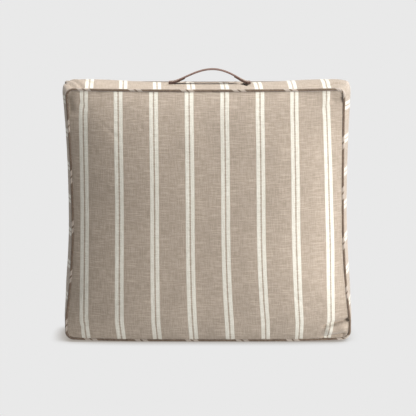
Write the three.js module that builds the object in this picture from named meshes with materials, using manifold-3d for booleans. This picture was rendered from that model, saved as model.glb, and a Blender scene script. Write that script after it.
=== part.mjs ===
// A striped box-edge floor cushion with piped seams, standing on one edge with its carrying handle
// uppermost. The cover is two square panels joined by a boxing strip, with a corded welt on each seam and
// a zip in the bottom boxing. Inside is a sewn casing filled with fibre. A leather strap is sewn to the top.
// Millimetres, +X along the width, +Y towards the back, +Z up, origin on the floor under the middle.

import * as THREE from "three";
import { mergeVertices } from "three/addons/utils/BufferGeometryUtils.js";
import Module from "manifold-3d";

const wasm = await Module();
wasm.setup();

// ---- Driving dimensions ----

const GAP = 0.3; // clearance between neighbouring pieces

// Seam outline, seen from the front: a rounded square, waisted at mid height and slumped wide at the foot
const SEAM_HALF_DEPTH = 62; // each seam's distance from the middle plane
const WAIST_HALF_WIDTH = 291;
const TOP_FLARE = 1;
const FOOT_FLARE = 14.5;
const WAIST_HEIGHT = 300;
const SEAM_TOP = 546;
const TOP_CORNER_LIFT = 3;
const SEAM_BOTTOM = 3.3;
const BOTTOM_CORNER_LIFT = 4.7;
const CORNER_RADIUS = 20;

// Fullness of the filled cushion
const CROWN = 45; // rise of each panel above its seam plane
const CROWN_POWER = 4.5; // how flat the middle of a panel is
const PLATEAU = 0.25; // share of a panel's half width that is quite flat
const TOP_SWELL = 7; // how far the boxing swells past the seams: over the top,
const SIDE_SWELL = 16; // high up the sides,
const FOOT_SWELL = 7; // and low down, where the weight spreads the seams instead

// Cloth, piping and insert
const CLOTH = 1.4;
const PIPING_RADIUS = 3;
const PIPING_WRAP = 0.8; // thickness of the bias strip round the cord
const PIPING_SLIT = 0.5; // half angle of the opening where the strip's two edges enter the seam, radians
const CASING_INSET = 4.2; // from the cover's outer surface to the insert's
const CASING_CLOTH = 1.2;
const FILL_CLEARANCE = 3; // from the casing's inner surface to the solid that stands for the fibre
const SEAT_DROP = 1.8; // the insert sits this many times further from the zip side than from the others
const BOXING_END_X = 270; // the boxing strip ends here on the underside and the zipped length begins

// Zip, in the bottom boxing between two turned-in folds
const FOLD_HALF_GAP = 4.3;
const FOLD_TURN = 18; // distance from the middle plane to the turned-in edge
const FOLD_RISE = 3.3;
const ZIP_HALF_LENGTH = 252;
const TAPE_BOTTOM = 3.6;
const TAPE_THICK = 0.6;
const COIL_INNER = 0.9;
const COIL_OUTER = 2.9;
const COIL_BOTTOM = 3.6;
const COIL_TOP = 5.2;
const STOP_LENGTH = 3.6;
const SLIDER_X = 240; // closed position of the slider's tab pin
const PLATE_HALF_WIDTH = 3.9;
const PLATE_THICK = 1;
const PIN_HEIGHT = 1.05;
const PIN_RADIUS = 0.3;
const TAB_EYE_RADIUS = 0.95;
const TAB_BORE_RADIUS = 0.6;
const TAB_LENGTH = 16;
const TAB_THICK = 0.8;
const TAB_CORNER = 1;
const PLATE_START = -4; // the slider's plates, post and lugs, measured along X from the pin
const PLATE_END = 10;
const PLATE_CORNER = 1.5;
const POST_START = 4;
const POST_END = 8;
const LUG_HALF_LENGTH = 0.9;
const LUG_INNER = 2.4;
const LUG_OUTER = 3.2;
const LUG_DROP = 0.75; // how far the lugs reach below the pin's axis

// Handle: a flat strap bowed over the top boxing, its feet sewn through to backing patches
const STRAP_HALF_WIDTH = 9.5;
const STRAP_THICK = 2.2;
const STRAP_RISE = 27;
const ARCH_HALF_SPAN = 80;
const STRAP_HALF_LENGTH = 87.5;
const GRIP_HALF_LENGTH = 52; // the free middle of the strap
const DOUBLED_FROM = 60; // from here outward the strap's end is turned back under itself
const SKIVE = 3; // length over which the turned-back end is pared thin
const END_ROUND = 1.2; // length of the rounded fold at the strap's end
const STITCH_INNER_X = 66;
const STITCH_OUTER_X = 84;
const STITCH_HALF_WIDTH = 7;
const THREAD = 0.8;
const PATCH_HALF_WIDTH = 12;
const PATCH_OVERHANG = 5; // beyond the stitches
const PATCH_THICK = 0.8;

// Grid fineness
const EDGE_STEPS = 5;
const CORNER_STEPS = 3;
const ROD_SIDES = 14;
const STRAP_STEPS = 16;
const FOOT_STEPS = 4;
const THREAD_STEPS = 4;

// ---- Materials ----

const matte = (color, roughness, metalness = 0) =>
  new THREE.MeshStandardMaterial({ color, roughness, metalness });
const COVER = matte(0xb5a696, 0.95);
const PIPING = matte(0x8a7c6c, 0.95);
const CORD = matte(0xe9e4d6, 0.9);
const CASING = matte(0xf1efe9, 0.9);
const FIBRE = matte(0xfafaf7, 1);
const LEATHER = matte(0x6b5550, 0.6);
const THREAD_COLOUR = matte(0xb7a496, 0.8);
const TAPE = matte(0xc9bba8, 0.9);
const COIL = matte(0xd3c7b6, 0.5);
const BRASS = matte(0x9a8458, 0.35, 1);

// ---- Solids from grids of points ----

// Builds a closed mesh from points and quads or triangles, with its faces turned outward.
function closedGeometry(points, faces) {
  const triangles = faces.flatMap((f) =>
    f.length === 4 ? [[f[0], f[1], f[2]], [f[0], f[2], f[3]]] : [f],
  );
  const sixVolumes = triangles.reduce(
    (sum, [a, b, c]) => sum + points[a].dot(points[b].clone().cross(points[c])),
    0,
  );
  const outward = sixVolumes < 0 ? triangles.map(([a, b, c]) => [a, c, b]) : triangles;
  const geometry = new THREE.BufferGeometry().setFromPoints(points);
  geometry.setIndex(outward.flat());
  geometry.computeVertexNormals();
  return geometry;
}

// Closed skin through a row of rings, with a fan to a pole at each end.
function polarSolid(firstPole, rings, lastPole) {
  const n = rings[0].length;
  const points = [firstPole, ...rings.flat(), lastPole];
  const at = (ring, i) => 1 + ring * n + (i % n);
  const faces = [];
  for (let i = 0; i < n; i++) {
    faces.push([0, at(0, i + 1), at(0, i)]);
    faces.push([points.length - 1, at(rings.length - 1, i), at(rings.length - 1, i + 1)]);
    for (let r = 0; r + 1 < rings.length; r++)
      faces.push([at(r, i), at(r, i + 1), at(r + 1, i + 1), at(r + 1, i)]);
  }
  return closedGeometry(points, faces);
}

// Closed tube: the rings follow one another round a section and the last joins the first.
function ringSolid(rings) {
  const n = rings[0].length;
  const m = rings.length;
  const at = (r, i) => (r % m) * n + (i % n);
  const faces = [];
  for (let r = 0; r < m; r++)
    for (let i = 0; i < n; i++)
      faces.push([at(r, i), at(r, i + 1), at(r + 1, i + 1), at(r + 1, i)]);
  return closedGeometry(rings.flat(), faces);
}

// A thick sheet between an outer and an inner grid, grid[station][across]; a looped one has no end walls.
function sheetSolid(outer, inner, looped = false) {
  const stations = outer.length;
  const across = outer[0].length;
  const half = stations * across;
  const at = (side, s, a) => side * half + (s % stations) * across + a;
  const faces = [];
  for (let s = 0; s < (looped ? stations : stations - 1); s++) {
    for (let a = 0; a + 1 < across; a++) {
      faces.push([at(0, s, a), at(0, s + 1, a), at(0, s + 1, a + 1), at(0, s, a + 1)]);
      faces.push([at(1, s, a), at(1, s, a + 1), at(1, s + 1, a + 1), at(1, s + 1, a)]);
    }
    const b = across - 1;
    faces.push([at(0, s, 0), at(1, s, 0), at(1, s + 1, 0), at(0, s + 1, 0)]);
    faces.push([at(0, s, b), at(0, s + 1, b), at(1, s + 1, b), at(1, s, b)]);
  }
  if (!looped)
    for (let a = 0; a + 1 < across; a++) {
      const e = stations - 1;
      faces.push([at(0, 0, a), at(0, 0, a + 1), at(1, 0, a + 1), at(1, 0, a)]);
      faces.push([at(0, e, a), at(1, e, a), at(1, e, a + 1), at(0, e, a + 1)]);
    }
  return closedGeometry([...outer.flat(), ...inner.flat()], faces);
}

// ---- Joining and cutting ----

function toManifold(geometry) {
  const bare = geometry.index ? geometry.toNonIndexed() : geometry.clone();
  bare.deleteAttribute("normal");
  bare.deleteAttribute("uv");
  const merged = mergeVertices(bare, 1e-4);
  return new wasm.Manifold(
    new wasm.Mesh({
      numProp: 3,
      vertProperties: merged.attributes.position.array,
      triVerts: new Uint32Array(merged.index.array),
    }),
  );
}

function fromManifold(solid) {
  const mesh = solid.getMesh();
  const geometry = new THREE.BufferGeometry();
  geometry.setAttribute("position", new THREE.BufferAttribute(mesh.vertProperties, 3));
  geometry.setIndex(new THREE.BufferAttribute(mesh.triVerts, 1));
  geometry.computeVertexNormals();
  return geometry;
}

const joined = (...geometries) =>
  fromManifold(geometries.map(toManifold).reduce((whole, next) => whole.add(next)));

// A block between two corners, a rod along Y, and a rounded plate lying flat.
function block(x0, x1, y0, y1, z0, z1) {
  const geometry = new THREE.BoxGeometry(x1 - x0, y1 - y0, z1 - z0);
  return geometry.translate((x0 + x1) / 2, (y0 + y1) / 2, (z0 + z1) / 2);
}

function rodAlongY(radius, y0, y1, x, z) {
  const geometry = new THREE.CylinderGeometry(radius, radius, y1 - y0, ROD_SIDES);
  return geometry.translate(x, (y0 + y1) / 2, z);
}

function roundedPlate(x0, x1, halfWidth, z0, thick, radius) {
  const shape = new THREE.Shape();
  shape.moveTo(x0 + radius, -halfWidth);
  shape.lineTo(x1 - radius, -halfWidth);
  shape.absarc(x1 - radius, radius - halfWidth, radius, -Math.PI / 2, 0);
  shape.lineTo(x1, halfWidth - radius);
  shape.absarc(x1 - radius, halfWidth - radius, radius, 0, Math.PI / 2);
  shape.lineTo(x0 + radius, halfWidth);
  shape.absarc(x0 + radius, halfWidth - radius, radius, Math.PI / 2, Math.PI);
  shape.lineTo(x0, radius - halfWidth);
  shape.absarc(x0 + radius, radius - halfWidth, radius, Math.PI, 1.5 * Math.PI);
  const options = { depth: thick, bevelEnabled: false, curveSegments: 4 };
  return new THREE.ExtrudeGeometry(shape, options).translate(0, 0, z0);
}

// ---- The cushion's form ----

// Heights of the seam outline's bottom and top edges at u, from -1 at the left to 1 at the right.
const bottomEdge = (u, inset) => SEAM_BOTTOM + BOTTOM_CORNER_LIFT * u ** 4 + inset;
const topEdge = (u, inset) => SEAM_TOP + TOP_CORNER_LIFT * u * u - inset;

function halfWidth(z, inset) {
  const towardTop = Math.max(0, (z - WAIST_HEIGHT) / (SEAM_TOP - WAIST_HEIGHT));
  const towardFoot = Math.max(0, (WAIST_HEIGHT - z) / (WAIST_HEIGHT - 3 * CORNER_RADIUS));
  const foot = Math.min(1, towardFoot) ** 2;
  return WAIST_HALF_WIDTH + TOP_FLARE * towardTop ** 2 + FOOT_FLARE * foot - inset;
}

// Turns a place on the unit square into a place inside the outline, in the front view's plane.
function warp(u, v, inset) {
  const low = bottomEdge(u, inset);
  const z = low + ((topEdge(u, inset) - low) * (v + 1)) / 2;
  return new THREE.Vector2(u * halfWidth(z, inset), z);
}

// The unit square with rounded corners, counterclockwise from the middle of the bottom edge.
function unitLoop(inset = 0) {
  const radius = Math.max(4, CORNER_RADIUS - inset) / WAIST_HALF_WIDTH;
  const straight = 1 - radius;
  const points = [];
  for (let side = 0; side < 4; side++) {
    const turn = (side * Math.PI) / 2;
    const place = (x, y) =>
      points.push(new THREE.Vector2(x, y).rotateAround(new THREE.Vector2(), turn));
    for (let i = 0; i < EDGE_STEPS; i++) place(-straight + (2 * straight * i) / EDGE_STEPS, -1);
    for (let i = 0; i < CORNER_STEPS; i++) {
      const angle = -Math.PI / 2 + (i * Math.PI) / 2 / CORNER_STEPS;
      place(straight + radius * Math.cos(angle), -straight + radius * Math.sin(angle));
    }
  }
  return points;
}

// The seam outline at an inset: each point with its outward direction in the front view's plane.
function outline(inset = 0) {
  const points = unitLoop(inset).map((p) => warp(p.x, p.y, inset));
  return points.map((point, i) => {
    const before = points[(i + points.length - 1) % points.length];
    const after = points[(i + 1) % points.length];
    const along = after.clone().sub(before).normalize();
    return { point, outward: new THREE.Vector2(along.y, -along.x) };
  });
}

// How full a panel is along one direction: 1 over the plateau, falling ever faster to 0 at the seam.
function fullness(t) {
  const flat = PLATEAU ** CROWN_POWER;
  return 1 - Math.max(0, (Math.min(1, Math.abs(t)) ** CROWN_POWER - flat) / (1 - flat));
}

// One ring of a panel: the outline shrunk to a share of its size, at the crown's height at each place.
function panelRing(share, inset, side) {
  return unitLoop(inset).map((p) => {
    const q = warp(p.x * share, p.y * share, inset);
    const rise = CROWN * fullness(p.x * share) * fullness(p.y * share);
    return new THREE.Vector3(q.x, side * (SEAM_HALF_DEPTH - inset + rise), q.y);
  });
}

const panelPole = (inset, side) => {
  const q = warp(0, 0, inset);
  return new THREE.Vector3(q.x, side * (SEAM_HALF_DEPTH - inset + CROWN), q.y);
};

// A place on the boxing: swollen outward between the seams, and flat where it would meet the floor.
function boxingPoint({ point, outward }, y, inset) {
  const height = Math.min(1, point.y / WAIST_HEIGHT);
  const sideways = FOOT_SWELL + (SIDE_SWELL - FOOT_SWELL) * height;
  const most = sideways * outward.x ** 2 + TOP_SWELL * outward.y ** 2;
  const swell = most * (1 - (y / SEAM_HALF_DEPTH) ** 2);
  const x = point.x + outward.x * swell;
  const z = point.y + outward.y * swell;
  return new THREE.Vector3(x, y, Math.max(inset, z));
}

const boxingRing = (y, inset) => outline(inset).map((o) => boxingPoint(o, y, inset));

// ---- Cover ----

const PANEL_SHARES = [PLATEAU, 0.5, 0.7, 0.84, 0.94];
const EDGE_SHARE = 1 - (PIPING_RADIUS + GAP) / WAIST_HALF_WIDTH;

function panelGeometry(side) {
  const shares = [...PANEL_SHARES, EDGE_SHARE];
  const outer = shares.map((s) => panelRing(s, 0, side));
  const inner = shares.map((s) => panelRing(s, CLOTH, side)).reverse();
  return polarSolid(panelPole(0, side), [...outer, ...inner], panelPole(CLOTH, side));
}

const BOXING_EDGE = SEAM_HALF_DEPTH - PIPING_RADIUS - GAP;
const PATCH_ROW = 20; // grid row just beyond the handle's backing patches
const SHOULDER_ROW = 42; // grid row where the boxing turns down towards its seams
const BOXING_HALF = [PATCH_ROW, SHOULDER_ROW, BOXING_EDGE];
const BOXING_ROWS = [...BOXING_HALF.map((y) => -y).reverse(), 0, ...BOXING_HALF];

// The long strip: up the right side, over the top and down the left, its ends turned under the bottom.
function boxingStripGeometry() {
  const grid = (inset) => {
    const loop = outline(inset);
    const open = [...loop.slice(EDGE_STEPS), loop[0]];
    const rows = open.map((o) => BOXING_ROWS.map((y) => boxingPoint(o, y, inset)));
    const ends = [rows[0], rows[rows.length - 1]].map((row) =>
      row.map((p) => new THREE.Vector3(Math.sign(p.x) * BOXING_END_X, p.y, p.z)),
    );
    return [ends[0], ...rows, ends[1]];
  };
  return sheetSolid(grid(0), grid(CLOTH));
}

const ZIP_STATIONS = [-1, -0.85, -0.5, 0, 0.5, 0.85, 1]; // along the zipped length, as shares of its half

// One half of the zipped length: cloth from the seam to the fold, turned in above itself.
function zipBoxingGeometry(side) {
  const end = BOXING_END_X - GAP;
  const stations = ZIP_STATIONS.map((t) => t * end);
  const section = (x, inset) => {
    const rise = bottomEdge(x / WAIST_HALF_WIDTH, 0);
    const seam = { point: new THREE.Vector2(x, rise + inset), outward: new THREE.Vector2(0, -1) };
    const flat = [BOXING_EDGE, SHOULDER_ROW].map((y) => boxingPoint(seam, side * y, inset));
    const folded = [
      [FOLD_HALF_GAP + inset, inset],
      [FOLD_HALF_GAP + inset, FOLD_RISE - inset],
      [FOLD_TURN, FOLD_RISE - inset],
    ];
    return [...flat, ...folded.map(([y, z]) => new THREE.Vector3(x, side * y, z))];
  };
  return sheetSolid(stations.map((x) => section(x, 0)), stations.map((x) => section(x, CLOTH)));
}

// ---- Piping ----

// A loop parallel to the seam, offset outward and across it.
const seamRing = (side, outwardBy, acrossBy) =>
  outline().map(
    ({ point, outward }) =>
      new THREE.Vector3(
        point.x + outward.x * outwardBy,
        side * (SEAM_HALF_DEPTH + acrossBy),
        point.y + outward.y * outwardBy,
      ),
  );

const WRAP_STEPS = 8;
const CORD_SIDES = 6;

// The bias strip: wrapped round the cord and open on the inward side, where its edges enter the seam.
function pipingCoverGeometry(side) {
  const steps = WRAP_STEPS;
  const arc = (radius) =>
    Array.from({ length: steps + 1 }, (_, i) => {
      const angle = -Math.PI + PIPING_SLIT + (2 * (Math.PI - PIPING_SLIT) * i) / steps;
      return seamRing(side, radius * Math.cos(angle), radius * Math.sin(angle));
    });
  const alongLoop = (rings) => rings[0].map((_, i) => rings.map((ring) => ring[i]));
  return sheetSolid(
    alongLoop(arc(PIPING_RADIUS)),
    alongLoop(arc(PIPING_RADIUS - PIPING_WRAP)),
    true,
  );
}

function pipingCordGeometry(side) {
  const facetDepth = Math.cos((Math.PI - PIPING_SLIT) / WRAP_STEPS);
  const radius = (PIPING_RADIUS - PIPING_WRAP) * facetDepth - GAP;
  const rings = Array.from({ length: CORD_SIDES }, (_, i) => {
    const angle = (2 * Math.PI * i) / CORD_SIDES;
    return seamRing(side, radius * Math.cos(angle), radius * Math.sin(angle));
  });
  return ringSolid(rings);
}

// ---- Insert ----

const INSERT_ROW = 35; // depth of the ring between the insert's seam line and its middle plane

// Rings of a smaller cushion form, from one face's pole to a depth y.
function insertRings(inset, side, depths) {
  const lift = (p) => new THREE.Vector3(p.x, p.y, Math.max(p.z, inset * SEAT_DROP));
  const faces = [...PANEL_SHARES, 1].map((s) => panelRing(s, inset, side).map(lift));
  return [...faces, ...depths.map((y) => boxingRing(side * y, inset).map(lift))];
}

function casingGeometry(side) {
  const depths = [INSERT_ROW, GAP / 2];
  const inner = CASING_INSET + CASING_CLOTH;
  return polarSolid(
    panelPole(CASING_INSET, side),
    [...insertRings(CASING_INSET, side, depths), ...insertRings(inner, side, depths).reverse()],
    panelPole(inner, side),
  );
}

function fillGeometry() {
  const inset = CASING_INSET + CASING_CLOTH + FILL_CLEARANCE;
  const front = insertRings(inset, -1, [INSERT_ROW, 0]);
  const back = insertRings(inset, 1, [INSERT_ROW]).reverse();
  return polarSolid(panelPole(inset, -1), [...front, ...back], panelPole(inset, 1));
}

// ---- Zip ----

const tapeGeometry = (side) =>
  block(
    -ZIP_HALF_LENGTH - 2 * STOP_LENGTH,
    ZIP_HALF_LENGTH + 2 * STOP_LENGTH,
    side > 0 ? COIL_OUTER + GAP : -FOLD_TURN,
    side > 0 ? FOLD_TURN : -COIL_OUTER - GAP,
    TAPE_BOTTOM,
    TAPE_BOTTOM + TAPE_THICK,
  );

function coilBlock(x0, x1, sideFrom, sideTo) {
  return block(x0, x1, Math.min(sideFrom, sideTo), Math.max(sideFrom, sideTo), COIL_BOTTOM, COIL_TOP);
}

const coilGeometry = (side) =>
  coilBlock(-ZIP_HALF_LENGTH, ZIP_HALF_LENGTH, side * COIL_INNER, side * COIL_OUTER);

const topStopGeometry = (side) => {
  const start = ZIP_HALF_LENGTH + GAP;
  return coilBlock(start, start + STOP_LENGTH, side * COIL_INNER, side * COIL_OUTER);
};

const bottomStopGeometry = () =>
  coilBlock(-ZIP_HALF_LENGTH - GAP - STOP_LENGTH, -ZIP_HALF_LENGTH - GAP, -COIL_OUTER, COIL_OUTER);

// Slider, in its own frame with the tab's pin on the Y axis at PIN_HEIGHT: two plates either side of the
// coils, a post between them, and two lugs under the lower plate that hold the pin.
function sliderGeometry() {
  const sink = 0.2; // how far joined pieces run into one another
  const lowerTop = COIL_BOTTOM - GAP;
  const lowerBottom = lowerTop - PLATE_THICK;
  const upperBottom = COIL_TOP + GAP;
  const plate = (z) =>
    roundedPlate(PLATE_START, PLATE_END, PLATE_HALF_WIDTH, z, PLATE_THICK, PLATE_CORNER);
  const lug = (y0, y1) =>
    block(-LUG_HALF_LENGTH, LUG_HALF_LENGTH, y0, y1, PIN_HEIGHT - LUG_DROP, lowerBottom + sink);
  const post = COIL_INNER - GAP;
  return joined(
    plate(lowerBottom),
    plate(upperBottom),
    block(POST_START, POST_END, -post, post, lowerTop - sink, upperBottom + sink),
    lug(LUG_INNER, LUG_OUTER),
    lug(-LUG_OUTER, -LUG_INNER),
    rodAlongY(PIN_RADIUS, -LUG_INNER - sink, LUG_INNER + sink, 0, PIN_HEIGHT),
  );
}

// Pull tab: an eye round the pin and a flat blade lying back along the zip.
function pullTabGeometry() {
  const halfWidth = LUG_INNER - GAP;
  const eye = toManifold(rodAlongY(TAB_EYE_RADIUS, -halfWidth, halfWidth, 0, PIN_HEIGHT));
  const bore = toManifold(rodAlongY(TAB_BORE_RADIUS, -LUG_OUTER, LUG_OUTER, 0, PIN_HEIGHT));
  const bladeBottom = PIN_HEIGHT - TAB_THICK / 2;
  const blade = roundedPlate(-TAB_LENGTH, 0, halfWidth, bladeBottom, TAB_THICK, TAB_CORNER);
  return fromManifold(eye.add(toManifold(blade)).subtract(bore));
}

// ---- Handle ----

// Height of the strap's top face above the boxing's crown, at a distance from the middle.
const strapTop = (x) =>
  GAP + 2 * STRAP_THICK + STRAP_RISE * Math.max(0, 1 - (x / ARCH_HALF_SPAN) ** 2) ** 1.5;

const across = (x, z) =>
  [-STRAP_HALF_WIDTH, STRAP_HALF_WIDTH].map((y) => new THREE.Vector3(x, y, z));

// The free middle, one layer thick.
function gripGeometry() {
  const half = GRIP_HALF_LENGTH - GAP;
  const stations = Array.from(
    { length: STRAP_STEPS + 1 },
    (_, i) => -half + (2 * half * i) / STRAP_STEPS,
  );
  return sheetSolid(
    stations.map((x) => across(x, strapTop(x))),
    stations.map((x) => across(x, strapTop(x) - STRAP_THICK)),
  );
}

// A foot: one layer near the grip, two where the end is turned back, rounded at the fold.
function footGeometry(side) {
  const start = DOUBLED_FROM + SKIVE;
  const doubled = Array.from({ length: FOOT_STEPS + 1 }, (_, i) => [
    start + ((ARCH_HALF_SPAN - start) * i) / FOOT_STEPS,
    0,
    2,
  ]);
  // Each station: distance from the middle, then how many layers down its top and bottom faces are
  const stations = [
    [GRIP_HALF_LENGTH, 0, 1],
    [DOUBLED_FROM, 0, 1],
    ...doubled,
    [STRAP_HALF_LENGTH - END_ROUND, 0, 2],
    [STRAP_HALF_LENGTH, 0.5, 1.5],
  ];
  const face = (which) =>
    stations.map((s) => across(side * s[0], strapTop(s[0]) - STRAP_THICK * s[which]));
  return sheetSolid(face(1), face(2));
}

// A flat run of thread between two places on top of the strap.
function threadRun(x0, y0, x1, y1) {
  const sideways = new THREE.Vector2(y0 - y1, x1 - x0).setLength(THREAD / 2);
  const row = (t, up) =>
    [1, -1].map((s) => {
      const x = x0 + (x1 - x0) * t + s * sideways.x;
      const y = y0 + (y1 - y0) * t + s * sideways.y;
      return new THREE.Vector3(x, y, strapTop(x) + 2 * GAP + up);
    });
  const places = Array.from({ length: THREAD_STEPS + 1 }, (_, i) => i / THREAD_STEPS);
  return sheetSolid(places.map((t) => row(t, THREAD / 2)), places.map((t) => row(t, 0)));
}

// A box of stitches with two diagonals, on one foot of the strap.
function stitchGeometry(side) {
  const near = side * STITCH_INNER_X;
  const far = side * STITCH_OUTER_X;
  const wide = STITCH_HALF_WIDTH;
  const past = (THREAD / 2) * side;
  return joined(
    threadRun(near - past, wide, far + past, wide),
    threadRun(near - past, -wide, far + past, -wide),
    threadRun(near, -wide, near, wide),
    threadRun(far, -wide, far, wide),
    threadRun(near, -wide, far, wide),
    threadRun(near, wide, far, -wide),
  );
}

// Patch under the boxing that the foot is sewn through to, below the boxing's facet at its edges.
function backingGeometry(side) {
  const drop = (TOP_SWELL * PATCH_ROW * PATCH_HALF_WIDTH) / SEAM_HALF_DEPTH ** 2;
  const top = -drop - CLOTH - 2 * GAP;
  const near = side * (STITCH_INNER_X - PATCH_OVERHANG);
  const far = side * (STITCH_OUTER_X + PATCH_OVERHANG);
  const [x0, x1] = [Math.min(near, far), Math.max(near, far)];
  return block(x0, x1, -PATCH_HALF_WIDTH, PATCH_HALF_WIDTH, top - PATCH_THICK, top);
}

// ---- Assembly ----

function piece(name, geometry, material, parent) {
  const mesh = new THREE.Mesh(geometry, material);
  mesh.name = name;
  parent.add(mesh);
}

const cushion = new THREE.Group();
const SIDES = [["front", -1], ["back", 1]];
const HALVES = [["front", -1], ["rear", 1]];

for (const [word, side] of SIDES) {
  piece(word + "_panel", panelGeometry(side), COVER, cushion);
  piece(word + "_piping_cover", pipingCoverGeometry(side), PIPING, cushion);
  piece(word + "_piping_cord", pipingCordGeometry(side), CORD, cushion);
}
piece("boxing_strip", boxingStripGeometry(), COVER, cushion);
piece("fibre_fill", fillGeometry(), FIBRE, cushion);
for (const [word, side] of HALVES) {
  piece("zip_boxing_" + word, zipBoxingGeometry(side), COVER, cushion);
  piece("insert_casing_" + word, casingGeometry(side), CASING, cushion);
  piece("zip_tape_" + word, tapeGeometry(side), TAPE, cushion);
  piece("zip_coil_" + word, coilGeometry(side), COIL, cushion);
  piece("zip_top_stop_" + word, topStopGeometry(side), BRASS, cushion);
}
piece("zip_bottom_stop", bottomStopGeometry(), BRASS, cushion);

const slider = new THREE.Group();
slider.position.x = SLIDER_X;
piece("zip_slider", sliderGeometry(), BRASS, slider);
piece("zip_pull_tab", pullTabGeometry(), BRASS, slider);
cushion.add(slider);

const handle = new THREE.Group();
handle.position.z = topEdge(STRAP_HALF_LENGTH / WAIST_HALF_WIDTH, 0) + TOP_SWELL;
piece("handle_grip", gripGeometry(), LEATHER, handle);
for (const [word, side] of [["left", -1], ["right", 1]]) {
  piece("handle_" + word + "_foot", footGeometry(side), LEATHER, handle);
  piece("handle_" + word + "_stitching", stitchGeometry(side), THREAD_COLOUR, handle);
  piece("handle_" + word + "_backing", backingGeometry(side), CASING, handle);
}
cushion.add(handle);

export default cushion;
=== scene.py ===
"""Striped box-edge floor cushion with piped seams, a zip underneath and a leather carrying handle.

The cover is relaxed as cloth over its filling, then dressed with its welts, zip, insert and handle.
Metres, +X along the width, +Y towards the back, +Z up. Run it as a script with the packed frame in place.
"""

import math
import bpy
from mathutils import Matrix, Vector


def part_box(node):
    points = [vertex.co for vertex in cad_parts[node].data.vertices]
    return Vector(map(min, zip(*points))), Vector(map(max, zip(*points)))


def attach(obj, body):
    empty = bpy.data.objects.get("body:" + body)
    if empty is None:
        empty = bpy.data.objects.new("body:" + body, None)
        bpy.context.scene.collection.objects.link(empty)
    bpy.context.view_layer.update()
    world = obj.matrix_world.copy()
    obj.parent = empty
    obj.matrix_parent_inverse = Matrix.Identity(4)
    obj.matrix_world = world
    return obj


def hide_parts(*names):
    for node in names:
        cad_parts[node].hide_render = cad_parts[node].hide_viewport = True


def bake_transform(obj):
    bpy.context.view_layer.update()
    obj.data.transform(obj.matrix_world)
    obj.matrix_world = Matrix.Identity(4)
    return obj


bl_info = {
    "name": "Striped Floor Cushion",
    "version": (1, 0, 0),
    "blender": (4, 5, 0),
    "location": "View3D > Sidebar > Cushion",
    "description": "Builds a striped box-edge floor cushion with welts, zip, insert and leather handle",
    "category": "Add Mesh",
}

from collections import namedtuple

import bmesh
import bpy
import numpy as np
from bpy.props import FloatProperty, FloatVectorProperty, IntProperty, PointerProperty
from mathutils import Vector

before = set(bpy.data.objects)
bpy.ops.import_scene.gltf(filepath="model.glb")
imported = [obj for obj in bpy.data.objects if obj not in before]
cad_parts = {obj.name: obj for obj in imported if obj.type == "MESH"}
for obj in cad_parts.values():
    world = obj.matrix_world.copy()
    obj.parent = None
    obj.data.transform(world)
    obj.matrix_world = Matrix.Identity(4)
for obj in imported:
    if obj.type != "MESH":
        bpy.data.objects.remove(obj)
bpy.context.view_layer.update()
MM = 0.001

# ---- Places taken from the frame ----

WELT_LOW, WELT_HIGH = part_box("front_piping_cover")
WELT_RADIUS = (WELT_HIGH.y - WELT_LOW.y) / 2
HALF_DEPTH = -(WELT_HIGH.y + WELT_LOW.y) / 2
SEAM_FOOT = WELT_LOW.z + WELT_RADIUS
SEAM_CREST = WELT_HIGH.z - WELT_RADIUS
FOOT_HALF_WIDTH = WELT_HIGH.x - WELT_RADIUS
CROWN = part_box("back_panel")[1].y - HALF_DEPTH
FOOT_LOW, FOOT_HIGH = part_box("handle_right_foot")
GRIP_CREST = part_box("handle_grip")[1].z
STITCH_LOW, STITCH_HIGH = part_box("handle_right_stitching")
TAPE_LOW, TAPE_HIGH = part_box("zip_tape_rear")
COIL_LOW, COIL_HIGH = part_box("zip_coil_rear")
SLIDER_LOW, SLIDER_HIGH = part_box("zip_slider")
TAB_LOW, TAB_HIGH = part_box("zip_pull_tab")
ZIP_CLOTH_LOW, ZIP_CLOTH_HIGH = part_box("zip_boxing_rear")


def linear(text):
    """A colour written as sRGB hex, turned to linear: each channel over 12.92 below 0.04045, and above it
    the channel plus 0.055 over 1.055, to the power 2.4."""
    channels = [int(text[i : i + 2], 16) / 255 for i in (1, 3, 5)]
    return tuple(c / 12.92 if c <= 0.04045 else ((c + 0.055) / 1.055) ** 2.4 for c in channels)


def length(name, default, description):
    """A size in metres."""
    return FloatProperty(name=name, default=default, description=description, unit="LENGTH", precision=4)


def colour(name, text, description):
    """A colour, given as sRGB hex."""
    return FloatVectorProperty(
        name=name, default=linear(text), description=description, subtype="COLOR", min=0, max=1
    )


# ---- What a user would change ----


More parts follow.
